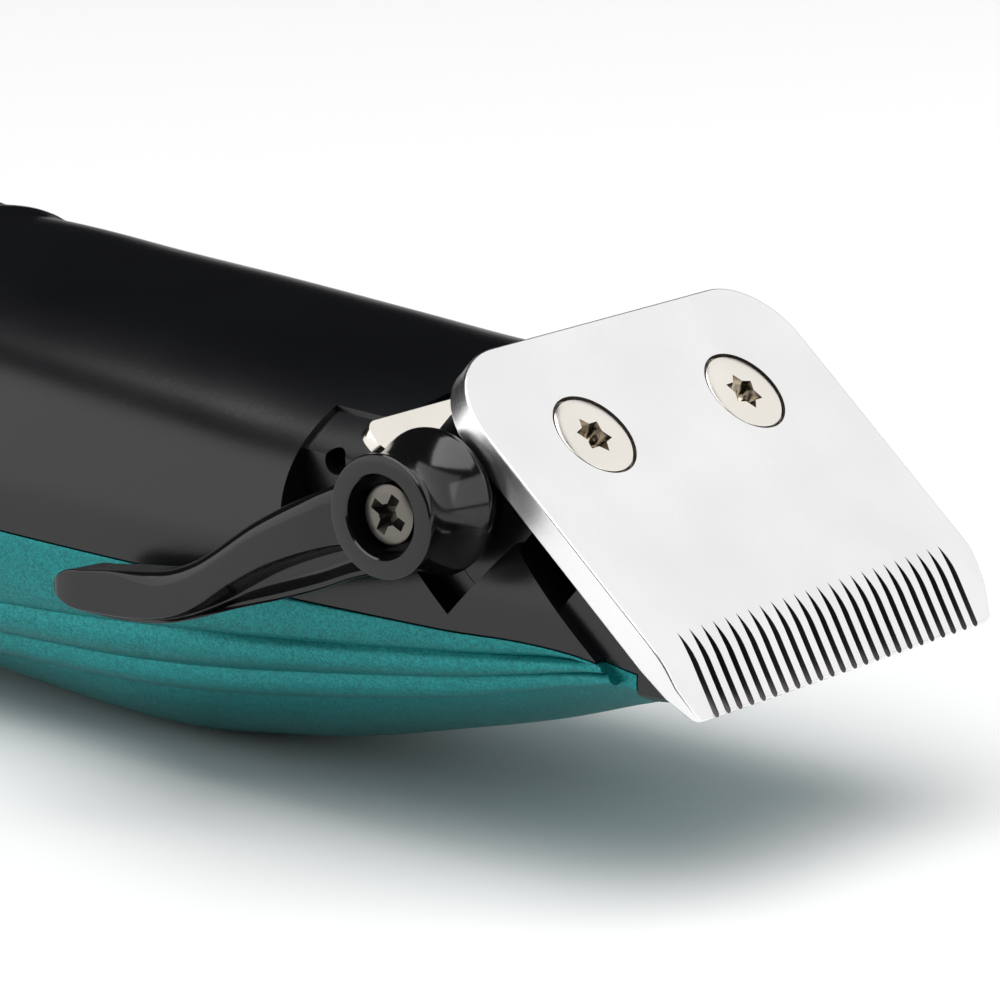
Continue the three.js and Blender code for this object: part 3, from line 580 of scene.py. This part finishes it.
def boss_slots():
    cutters = []
    for w in (-SCREW_SPACING / 2, SCREW_SPACING / 2):
        cutters.append(rod("z", BAY_FLOOR, 0, BOSS_SLOT_RADIUS, (0, w), BLADE, 48))
        cutters.append(rod("z", BAY_FLOOR, 0, BOSS_SLOT_RADIUS, (TAPER_TRAVEL, w), BLADE, 48))
        low, high = w - BOSS_SLOT_RADIUS, w + BOSS_SLOT_RADIUS
        cutters.append(block(0, TAPER_TRAVEL, low, high, BAY_FLOOR, 0, BLADE))
    return cutters


SCREW_PLACES = [("rear_left", -66, -11.5, 32), ("rear_right", -66, 11.5, 32),
                ("front_left", 46.5, -15, 27.5), ("front_right", 46.5, 15, 27.5)]
SWITCH_X, SWITCH_Z = 15, 24.6
POWER_X, POWER_Z = 36, 24.5


def add_underside_shell():
    shell = kept_inside(hull(0, 144, 16, 200, grip=True), above_parting_line(SEAM / 2))
    cut(shell, *nose_cuts())
    cut(shell, cavity())
    seat = block(-7.2, BAY_FRONT + 0.3, -17, 17, BRACKET_TOP + GAP, SEAT_TOP, BLADE)
    cheeks = [block(-7.2, BAY_FRONT + 0.3, y, y + 4, BAY_FLOOR - 1, SEAT_TOP, BLADE) for y in (-21, 17)]
    posts = [rod("z", parting_at(x) + GAP, top - 1.2, POST_RADIUS, (x, y), None, 40)
             for _, x, y, top in SCREW_PLACES]
    for post in posts[2:]:
        cut(post, block(BAY_REAR - 5, BAY_FRONT, -40, 40, BAY_FLOOR, 40, BLADE))
    joined(shell, seat, *cheeks, *posts)
    cut(shell, *boss_slots())
    hole_end = POCKET_FLAT + POCKET_HOLE_DEPTH
    cut(shell, *lever_pocket(), rod("y", -30, hole_end, POCKET_HOLE_RADIUS, POCKET_HOLE, None, 40))
    for _, x, y, top in SCREW_PLACES:
        cut(shell, rod("z", 0, 60, 1.8, (x, y), None, 24), rod("z", top - 2.6, 60, 3.4, (x, y), None, 48))
    cut(
        shell,
        block(-6.6, 3.4, -17.6, -15.4, BAY_FLOOR + GAP, 0, BLADE),
        block(7.1, 14.9, -6.4, 6.4, -12, 0, BLADE),
        block(7.1, 19.6, -16, 16, DECK - 0.8, 0, BLADE),
        block(-10.5, BAY_FRONT, -30, -21.05, -14.6, 0, BLADE),
        rod("y", -40, -14, 2.7, (LEVER_X, LEVER_Z), None, 32),
        block(SWITCH_X - 2.6, SWITCH_X + 6.6, 12, 40, SWITCH_Z - 1.5, SWITCH_Z + 1.5),
        block(SWITCH_X - 7.6, SWITCH_X + 11.6, 22.2, 40, SWITCH_Z - 3, SWITCH_Z + 3),
        rod("y", 12, 40, 2, (POWER_X, POWER_Z), None, 32),
        rod("y", 20.6, 40, 3.6, (POWER_X, POWER_Z), None, 48),
        rod("x", TAIL_X - 5, -70, INLET_RADIUS, (0, TAIL_Z), None, 64),
    )
    finish_piece(shell, "underside_shell_fine", BLACK, "housing", ["underside_shell"])


def crease_depth_at(x):
    return CREASE_DEPTH * smooth_step((x + 74) / 14)


def back_section(x):
    """Points of the back cover's outer section, from the lever side's parting line round to the other."""
    shrink = tail_shrink(x, 0)
    parting = parting_at(x)
    middle = lerp(TAIL_Z, parting, shrink)
    half = half_width_at(x) * shrink
    down = max((parting - belly_at(x)) * shrink, 0.5)
    depth = crease_depth_at(x)
    top = middle - SEAM / 2
    levels = [top] + [middle - (parting - crease(x)) * shrink for crease in crease_at]
    for i in range(1, 4):
        levels[i] = min(levels[i], levels[i - 1] - 0.05)
    heights = []
    for band, steps in ((0, 14), (1, 12), (2, 12)):
        for i in range(steps):
            t = i / steps
            edge = FIRST_ROLL_SHARE * t ** 3 if band == 0 else (2 * t - 1) ** 2
            reach = smooth_step((levels[band] - levels[band + 1]) / 1.2)
            roll = 0 if band == 0 else ROLL_SHARE
            heights.append((lerp(levels[band], levels[band + 1], t), depth * (edge - roll) * reach))
    lowest = middle - down
    start = math.asin(min(1, (middle - levels[3]) / down) ** (SQUARENESS_LOW / 2))
    last_steps = 30
    for i in range(last_steps + 1):
        angle = lerp(start, math.pi / 2, i / last_steps)
        z = middle - down * math.sin(angle) ** (2 / SQUARENESS_LOW)
        fade = max(0, 1 - (levels[3] - z) / 2.6)
        heights.append((z, depth * (1 - ROLL_SHARE) * fade ** 2))
    side = []
    for z, dent in heights:
        share = min(1, max(0, (middle - z) / down))
        y = half * (1 - share ** SQUARENESS_LOW) ** (1 / SQUARENESS_LOW)
        slope_y = (y / half) ** (SQUARENESS_LOW - 1) / half
        slope_z = share ** (SQUARENESS_LOW - 1) / down
        length = math.hypot(slope_y, slope_z)
        side.append((max(y - dent * slope_y / length, 0), max(z + dent * slope_z / length, lowest, 0)))
    rounding = 0.16
    rim = [(side[0][0] - rounding, top), (side[0][0] - 0.3 * rounding, top - 0.3 * rounding)]
    side[0] = (side[0][0], top - rounding)
    for i in range(1, 6):
        side[i] = (side[i][0], min(side[i][1], side[i - 1][1] - 0.02))
    outline = rim + side
    left = [(x, -y, z) for y, z in outline]
    right = [(x, y, z) for y, z in reversed(outline[:-1])]
    return left + right


def add_back_cover():
    front = BACK_FRONT_X - SEAM / 2
    cover = tube("cover", [back_section(x) for x in stations(0, 16, 200, front)])
    cut(cover, *nose_cuts())
    cut(cover, cavity())
    posts = [rod("z", 1.5, parting_at(x) - GAP, POST_RADIUS, (x, y), None, 40)
             for _, x, y, _ in SCREW_PLACES]
    body = hull(0.5, 48, 6, 60)
    feet = [rod("z", 1.5, 11.7, 3.4, (-33.5, y), None, 40) for y in (-13.5, 13.5)]
    pivot_foot = rod("z", 0.5, 12, 4.5, (24, 0), None, 48)
    lining = joined(pivot_foot, *posts, *feet)
    joined(cover, kept_inside(lining, body))
    for _, x, y, _ in SCREW_PLACES:
        cut(cover, rod("z", 12, 60, 1.6, (x, y), None, 24))
    cut(
        cover,
        rod("z", 7, 60, 1.6, (-33.5, -13.5), None, 24),
        rod("z", 7, 60, 1.6, (-33.5, 13.5), None, 24),
        rod("z", 4.5, 60, 2.3, (24, 0), None, 32),
        rod("x", TAIL_X - 5, -70, INLET_RADIUS, (0, TAIL_Z), None, 64),
        block(7.1, 19.6, -16, 16, DECK - 0.8, 0, BLADE),
    )
    finish_piece(cover, "back_cover_fine", TEAL, "housing", ["back_cover"], sharp=28)


# ---------- blade set ----------
def arc(centre, radius, start, end, steps):
    return [(centre[0] + radius * math.cos(lerp(start, end, i / steps)),
             centre[1] + radius * math.sin(lerp(start, end, i / steps))) for i in range(steps + 1)]


def blade_outline():
    left, right = 8.2, 6.8
    points = arc((BLADE_REAR + right, BLADE_HALF - right), right, math.pi / 2, math.pi, 24)
    points += arc((BLADE_REAR + left, left - BLADE_HALF), left, math.pi, 1.5 * math.pi, 24)
    front = [(21, 23), (24.3, 22.65), (26.9, 21.6), (27.25, 21.2), (BLADE_TIP, 20.6)]
    points += [(s, -w) for s, w in front]
    points += list(reversed(front))
    return points


def slot_outline(w):
    half = [(19.9, 0), (20.5, 0.11), (21.2, 0.23), (22, 0.32), (23, 0.37), (40, 0.375)]
    return [(s, w - a) for s, a in half] + [(s, w + a) for s, a in reversed(half[1:])]


def bevel_cutter():
    """Solid over the ground front bevel, which runs out of the flat face in a long round."""
    blend = 1.6
    radius = blend / math.tan(BEVEL_ANGLE / 2)
    points = []
    for i in range(9):
        angle = BEVEL_ANGLE * i / 8
        points.append((BEVEL_START - blend + radius * math.sin(angle), radius * (math.cos(angle) - 1)))
    far = 20
    points.append((points[-1][0] + far * math.cos(BEVEL_ANGLE), points[-1][1] - far * math.sin(BEVEL_ANGLE)))
    points += [(50, 5), (BEVEL_START - blend, 5)]
    return side_profile(points, -40, 40)


def paint_shade_on_faces(piece, material, chosen):
    """Second, darker metal on the faces whose centre and normal the test picks, in millimetres: painted
    shade in slots and recesses.
    """
    piece.data.materials.clear()
    piece.data.materials.append(None)
    piece.data.materials.append(material)
    for face in piece.data.polygons:
        face.material_index = int(chosen(face.center / MM, face.normal))


def place_in_blade_frame(piece):
    piece.data.transform(Matrix.Scale(MM, 4) @ BLADE @ Matrix.Scale(1 / MM, 4))


def add_fixed_blade():
    blade = plate(blade_outline(), -BLADE_THICK, 0)
    cut(blade, bevel_cutter())
    round_edges(blade, 0.2, 30, 3)
    for side in (-1, 1):
        w = side * SCREW_SPACING / 2
        countersink = [(2.2, -5), (2.2, -2), (4.2, -0.62), (4.2, -0.05), (4.26, 0.5)]
        cut(blade, lathe("cutter", countersink, "z", (0, w), None, 96))
    for i in range(SLOT_COUNT):
        cut(blade, plate(slot_outline((i - (SLOT_COUNT - 1) / 2) * TOOTH_PITCH), -10, 5))

    # painted shade: the slot walls and countersink walls get the darkened steel
    def shaded_cut_wall(centre, normal):
        if abs(normal.z) >= 0.8 or abs(centre.y) >= 19.5:
            return False
        in_slot = centre.x > 19.5 and abs(normal.y) > 0.5
        return in_slot or math.hypot(centre.x, abs(centre.y) - SCREW_SPACING / 2) < 4.3

    paint_shade_on_faces(blade, SHADE_DARKENED_STEEL, shaded_cut_wall)
    place_in_blade_frame(blade)
    finish_piece(blade, "fixed_blade_fine", BLADE_STEEL, "blade_set", ["fixed_blade"], sharp=30)


def star_outline(centre, outer, inner, points, turn):
    outline = []
    for i in range(2 * points):
        radius = outer if i % 2 == 0 else inner
        angle = turn + math.pi * i / points
        outline.append((centre[0] + radius * math.cos(angle), centre[1] + radius * math.sin(angle)))
    return outline


def add_blade_screw(name, side):
    w = side * SCREW_SPACING / 2
    profile = [(0, -11.5), (1.4, -11.5), (1.55, -11.2), (1.55, -2.1), (2.0, -2), (3.9, -0.66), (3.96, -0.6),
               (3.96, -0.2), (3.93, -0.13), (3.86, -0.1), (2.5, -0.07), (0, -0.06)]
    screw = lathe("screw", profile, "z", (0, w), None, 96)
    turn = 0.55 + 0.4 * side
    levels = [(-1.45, 0.55), (-1.1, 1.2), (-0.1, 1.9), (0.3, 2.0)]
    rings = [[(x, y, z) for x, y in star_outline((0, w), r, 0.66 * r, 6, turn)] for z, r in levels]
    cut(screw, tube("cutter", rings))

    # painted shade: the star recess walls get the darkened nickel
    def shaded_recess_wall(centre, normal):
        return -1.5 < centre.z < -0.12 and not 2 < math.hypot(centre.x, centre.y - w) < 3.9

    paint_shade_on_faces(screw, SHADE_DARKENED_NICKEL, shaded_recess_wall)
    place_in_blade_frame(screw)
    finish_piece(screw, name + "_fine", NICKEL, "blade_set", [name], sharp=30)


def rounded_bar(s0, s1, half, radius):
    points = []
    for s, w, start in ((s1 - radius, half - radius, 0), (s0 + radius, half - radius, 0.5),
                        (s0 + radius, radius - half, 1), (s1 - radius, radius - half, 1.5)):
        points += arc((s, w), radius, math.pi * start, math.pi * (start + 0.5), 10)
    return points


def add_bracket():
    bracket = plate(rounded_bar(-12.7, -9.2, 21.6, 1.5), BRACKET_LOW, BRACKET_TOP)
    joined(bracket, block(-10, 3.2, -15, 15, BRACKET_LOW, BRACKET_TOP))
    round_edges(bracket, 0.16, 40, 2)
    pin_s = -3.04
    bosses = [rod("z", BRACKET_LOW, -BLADE_THICK - GAP, 4, (0, w), None, 64)
              for w in (-SCREW_SPACING / 2, SCREW_SPACING / 2)]
    fork = [block(pin_s - 3.1, pin_s + 3.1, -16.9, -14.5, BRACKET_LOW, BRACKET_TOP),
            block(pin_s - 3.1, pin_s - 1.8, -16.9, -15.7, BRACKET_LOW, -4.4),
            block(pin_s + 1.8, pin_s + 3.1, -16.9, -15.7, BRACKET_LOW, -4.4)]
    joined(bracket, *bosses, *fork)
    for w in (-SCREW_SPACING / 2, SCREW_SPACING / 2):
        cut(bracket, rod("z", -20, 0, 1.9, (0, w), None, 40))
    place_in_blade_frame(bracket)
    finish_piece(bracket, "blade_bracket_fine", NICKEL, "blade_set", ["blade_bracket"])


# ---------- taper lever ----------
ARM_TOP = [(15.4, 18.6), (16.5, 20.1), (21, 21.2), (26.9, 22.2), (31.2, 24.1), (37.7, 28.8), (45.3, 33.1),
           (51, 35.8)]
ARM_FACE_LOW = [(15.4, 18.4), (16.8, 17.3), (21, 17.25), (25.6, 17.7), (29, 18.6), (32, 20.2), (35.2, 22.6),
                (39.6, 25.3), (45, 27.6), (51, 29.2)]
ARM_WEB_LOW = [(15.4, 18.4), (16.8, 17.3), (21, 17), (25.6, 17.2), (29, 17.9), (34.7, 20), (39.5, 21.7),
               (43.5, 23.3), (47, 24.9), (51, 26.3)]
ARM_FACE = [(15, -31.8), (36, -31.8), (43, -31.5), (46.5, -30.8), (52, -30.4)]
ARM_ROUND = [(15, 0.3), (22, 0.35), (28, 1.7), (52, 2)]
ARM_BACK_Y = -26.3
ARM_END = 51
arm_top_at = line_through(ARM_TOP)
arm_face_low_at = line_through(ARM_FACE_LOW)
arm_web_low_at = line_through(ARM_WEB_LOW)
arm_face_at = line_through(ARM_FACE)
arm_round_at = line_through(ARM_ROUND)


def rounded_corner(before, corner, after, radius, steps=4):
    """Quadratic rounding of one corner of a section."""
    a, c, b = Vector(before), Vector(corner), Vector(after)
    start = c + (a - c).normalized() * min(radius, (a - c).length * 0.45)
    end = c + (b - c).normalized() * min(radius, (b - c).length * 0.45)
    points = []
    for i in range(steps + 1):
        t = i / steps
        points.append(start.lerp(c, t).lerp(c.lerp(end, t), t))
    return points


def arm_section(x):
    """Section of the arm: a flat outer face, a cove under it and a thinner web behind."""
    top, face_low = arm_top_at(x), arm_face_low_at(x)
    web_low = min(arm_web_low_at(x), face_low - 0.02)
    face_y = arm_face_at(x)
    cove = smooth_step((face_low - web_low) / 2.2)
    lip = face_y + 0.3
    deep_y = lerp(lip + 0.1, -26.9, cove)
    rib_y = lerp(lip + 0.1, -29.6, cove)
    ring = rounded_corner((ARM_BACK_Y, top - 0.4), (face_y, top), (face_y, face_low), arm_round_at(x), 6)
    ring += rounded_corner((face_y, top), (face_y, face_low), (lip + 0.4, face_low), 0.25, 3)
    for i in range(1, 12):
        t = i / 12
        y = (1 - t) ** 2 * lip + 2 * t * (1 - t) * deep_y + t * t * rib_y
        z = lerp(face_low, web_low + 0.3 * cove, t * t * (2 - t))
        ring.append(Vector((y, z)))
    ring += rounded_corner((deep_y, web_low + 1.2), (rib_y, web_low), (ARM_BACK_Y, web_low - 0.1), 0.5, 4)
    ring += rounded_corner((rib_y, web_low), (ARM_BACK_Y, web_low), (ARM_BACK_Y, top), 0.9, 4)
    ring += rounded_corner((ARM_BACK_Y, web_low), (ARM_BACK_Y, top - 0.4), (face_y, top), 0.9, 4)
    return [(x, p[0], p[1]) for p in ring]


def add_taper_lever():
    tip_x, reach = 15.3, 3.2
    rings = []
    for i in range(10):
        t = (i + 0.35) / 10
        x = tip_x + reach * (1 - math.cos(math.pi / 2 * t))
        section = arm_section(tip_x + reach)
        grow = math.sin(math.pi / 2 * t)
        middle_y, middle_z = (ARM_FACE[0][1] + ARM_BACK_Y) / 2, 18.75
        flat = lerp(0.82, 1, grow)
        rings.append([(x, lerp(middle_y, y, flat), lerp(middle_z, z, grow)) for _, y, z in section])
    steps = 64
    rings += [arm_section(lerp(tip_x + reach, ARM_END, i / steps)) for i in range(steps + 1)]
    arm = tube("arm", rings)
    profile = [(0, HUB_FACE_Y), (5.1, HUB_FACE_Y), (5.25, HUB_FACE_Y + 0.05), (5.36, HUB_FACE_Y + 0.2),
               (5.36, HUB_FACE_Y + 0.45)]
    waist = [(5.24, -30.2), (5.14, -29.5), (5.12, -28.7), (5.2, -27.7), (5.4, -26.7), (5.7, -25.7),
             (6.02, -24.9), (6.26, -24.35)]
    flange = [(6.36, -24.0), (6.3, -23.7), (6.12, -23.5), (4.9, -23.5), (4.9, -21.6), (0, -21.6)]
    lever = lathe("lever", profile + waist + flange, "y", (LEVER_X, LEVER_Z), None, 160)
    joined(lever, arm)
    cut(
        lever,
        lathe("cutter", [(3.72, -40), (3.72, HUB_FACE_Y), (3.6, HUB_FACE_Y + 0.15), (3.55, -27.4)], "y",
              (LEVER_X, LEVER_Z), None, 96),
        rod("y", -28, -20, 1.5, (LEVER_X, LEVER_Z), None, 32),
        rod("y", -25, -20, 2.5, (LEVER_X, LEVER_Z), None, 48),
    )
    finish_piece(lever, "taper_lever_fine", LEVER, "taper_lever", ["taper_lever"], sharp=32)


def add_lever_screw():
    face = -29.95
    profile = [(0, face - 0.1), (1.6, face - 0.06), (2.4, face), (2.58, face + 0.1), (2.65, face + 0.3),
               (2.65, -27.7), (1.2, -27.7), (1.2, -18.6), (1.0, -18.5), (0, -18.5)]
    screw = lathe("screw", profile, "y", (LEVER_X, LEVER_Z), None, 64)
    for quarter in (0, 1):
        turn = Matrix.Translation((LEVER_X, face, LEVER_Z))
        turn = turn @ Matrix.Rotation(0.44 + quarter * math.pi / 2, 4, "Y")
        low = [(-1.1, 1.3, -0.35), (1.1, 1.3, -0.35), (1.1, 1.3, 0.35), (-1.1, 1.3, 0.35)]
        high = [(-1.95, -0.3, -0.5), (1.95, -0.3, -0.5), (1.95, -0.3, 0.5), (-1.95, -0.3, 0.5)]
        cut(screw, tube("cutter", [low, high], turn))
    centre_hole = [(0.95, face - 1), (0.95, face), (0.3, -28.6)]
    cut(screw, lathe("cutter", centre_hole, "y", (LEVER_X, LEVER_Z), None, 32))
    finish_piece(screw, "lever_screw_fine", DARK_STEEL, "taper_lever", ["lever_screw"], sharp=30)


# ---------- small pieces ----------
def add_housing_screws():
    for place, x, y, top in SCREW_PLACES:
        tip = 12.5
        profile = [(0, tip), (0.6, tip), (1.3, tip + 1.2), (1.3, top - 2), (2.9, top - 2), (2.9, top - 0.7),
                   (2.7, top - 0.3), (2.2, top - 0.08), (1, top), (0, top)]
        screw = lathe("screw", profile, "z", (x, y), None, 48)
        for quarter in (0, 1):
            turn = Matrix.Translation((x, y, top)) @ Matrix.Rotation(0.4 + quarter * math.pi / 2, 4, "Z")
            low = [(-1, -0.28, -1.1), (1, -0.28, -1.1), (1, 0.28, -1.1), (-1, 0.28, -1.1)]
            high = [(-1.75, -0.4, 0.3), (1.75, -0.4, 0.3), (1.75, 0.4, 0.3), (-1.75, 0.4, 0.3)]
            cut(screw, tube("cutter", [low, high], turn))
        name = "housing_screw_" + place
        finish_piece(screw, name + "_fine", DARK_STEEL, "housing", [name], sharp=30)


def add_cord_inlet_bush():
    profile = [(0, -100), (3.9, -100), (6.1, -100), (6.45, -99.85), (6.6, -99.5), (6.6, -97.35), (5, -97.3),
               (5, -92), (5.6, -91.8), (5.6, -89.2), (5.2, -89), (3.5, -89), (0, -89)]
    outer = lathe("bush", profile, "x", (0, TAIL_Z), None, 96)
    bore = [(3.95, -101), (3.9, -100), (3.6, -99.6), (3.5, -99), (3.5, -88)]
    cut(outer, lathe("cutter", bore, "x", (0, TAIL_Z), None, 64))
    finish_piece(outer, "cord_inlet_bush_fine", RUBBER, "housing", ["cord_inlet_bush"])


def add_switch_slider():
    stem = block(SWITCH_X - 2.2, SWITCH_X + 2.2, 15.4, 23.2, SWITCH_Z - 1.1, SWITCH_Z + 1.1)
    points = [(x + SWITCH_X, z + SWITCH_Z) for x, z in rounded_bar(-6.7, 6.7, 2.6, 1.2)]
    cap = side_profile(points, 22.6, 24.1)
    round_edges(cap, 0.3, 40, 3)
    joined(cap, stem)
    for x in (-4, -2, 0, 2, 4):
        ridge = block(SWITCH_X + x - 0.45, SWITCH_X + x + 0.45, 23.6, 24.8, SWITCH_Z - 2.1, SWITCH_Z + 2.1)
        round_edges(ridge, 0.25, 40, 3)
        joined(cap, ridge)
    finish_piece(cap, "switch_slider_fine", LEVER, "switch_slider", ["switch_slider"])


def add_power_screw():
    profile = [(0, 11.5), (2.9, 11.5), (2.9, 12.6), (1.7, 12.6), (1.7, 20.9), (3.2, 20.9), (3.2, 22.2),
               (3.05, 22.5), (2.7, 22.6), (0, 22.6)]
    screw = lathe("screw", profile, "y", (POWER_X, POWER_Z), None, 64)
    cut(screw, block(POWER_X - 4, POWER_X + 4, 21.8, 24, POWER_Z - 0.4, POWER_Z + 0.4))
    finish_piece(screw, "power_screw_fine", DARK_STEEL, "power_screw", ["power_screw"], sharp=30)


CARRIED = {
    # painted shade: the cutter blade, seen only through the slots, gets the darkened steel
    "cutter_blade": SHADE_DARKENED_STEEL,
    "cutter_yoke": WHITE_NYLON,
    "tension_spring": SPRING_STEEL,
    "eccentric_shaft": BRASS,
    "core_stack": LAMINATION,
    "core_screw_left": DARK_STEEL,
    "core_screw_right": DARK_STEEL,
    "coil_bobbin": WHITE_NYLON,
    "coil_winding": COPPER,
    "armature_block": LAMINATION,
    "drive_arm": GREY_NYLON,
    "pivot_bush": BRASS,
    "pivot_pin": SPRING_STEEL,
    "centring_spring_left": SPRING_STEEL,
    "centring_spring_right": SPRING_STEEL,
    "switch_body": GREY_NYLON,
    "terminal_block": WHITE_NYLON,
    "coil_lead": WIRE_BLUE,
    "switch_to_coil_lead": WIRE_BROWN,
    "switch_supply_lead": WIRE_BROWN,
}


def dress_carried_nodes():
    """The pieces whose CAD shape is already right get the fine materials."""
    for name, material in CARRIED.items():
        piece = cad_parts[name]
        for slot in piece.material_slots:
            slot.material = material


# ---------- stage ----------
def add_floor():
    material = bpy.data.materials.new("floor_white")
    material.use_nodes = True
    shader = material.node_tree.nodes["Principled BSDF"]
    shader.inputs["Base Color"].default_value = (0.86, 0.86, 0.86, 1)
    shader.inputs["Roughness"].default_value = 0.9
    size = 6000
    floor = mesh_object("floor", [(-size, -size, 0), (size, -size, 0), (size, size, 0), (-size, size, 0)],
                        [(0, 1, 2, 3)])
    floor.data.materials.append(material)


def add_panel(name, direction, distance, width, height, radiance, target=(0.02, 0, 0.02)):
    """Rectangular soft light, facing the clipper from a direction."""
    light = bpy.data.lights.new(name, "AREA")
    light.shape = "RECTANGLE"
    light.size = width
    light.size_y = height
    light.energy = radiance * math.pi * width * height
    lamp = bpy.data.objects.new(name, light)
    way = Vector(direction).normalized()
    lamp.location = Vector(target) + way * distance
    lamp.rotation_euler = way.to_track_quat("Z", "Y").to_euler()
    bpy.context.scene.collection.objects.link(lamp)


def add_lights():
    add_panel("overhead", (0.1, -0.1, 1), 1.5, 1.9, 1.9, 2.9)
    add_panel("left_front", (-0.62, -0.66, 0.37), 0.9, 1.0, 0.8, 1.45)
    add_panel("right", (0.85, 0.2, 0.33), 0.8, 0.5, 0.52, 1.5)
    add_panel("back_right", (0.42, 0.76, 0.46), 0.8, 1.0, 0.75, 0.95)
    world = bpy.data.worlds.new("studio")
    world.use_nodes = True
    world.node_tree.nodes["Background"].inputs["Color"].default_value = (0.012, 0.012, 0.013, 1)
    bpy.context.scene.world = world


def add_camera():
    camera = bpy.data.cameras.new("camera")
    camera.lens = 242.3
    camera.sensor_width = 36
    camera.clip_start = 0.05
    holder = bpy.data.objects.new("camera", camera)
    back = Vector((0.59287, -0.76387, 0.25496)).normalized()
    right = Vector((0.78549, 0.61833, 0.02604)).normalized()
    up = back.cross(right)
    turn = Matrix((right, up, back)).transposed().to_4x4()
    holder.matrix_world = Matrix.Translation((0.3905, -0.452, 0.1757)) @ turn
    bpy.context.scene.collection.objects.link(holder)
    bpy.context.scene.camera = holder
    bpy.context.scene.view_settings.view_transform = "Standard"


add_underside_shell()
add_back_cover()
add_fixed_blade()
add_blade_screw("blade_screw_left", -1)
add_blade_screw("blade_screw_right", 1)
add_bracket()
add_taper_lever()
add_lever_screw()
add_housing_screws()
add_cord_inlet_bush()
add_switch_slider()
add_power_screw()
dress_carried_nodes()
add_floor()
add_lights()
add_camera()
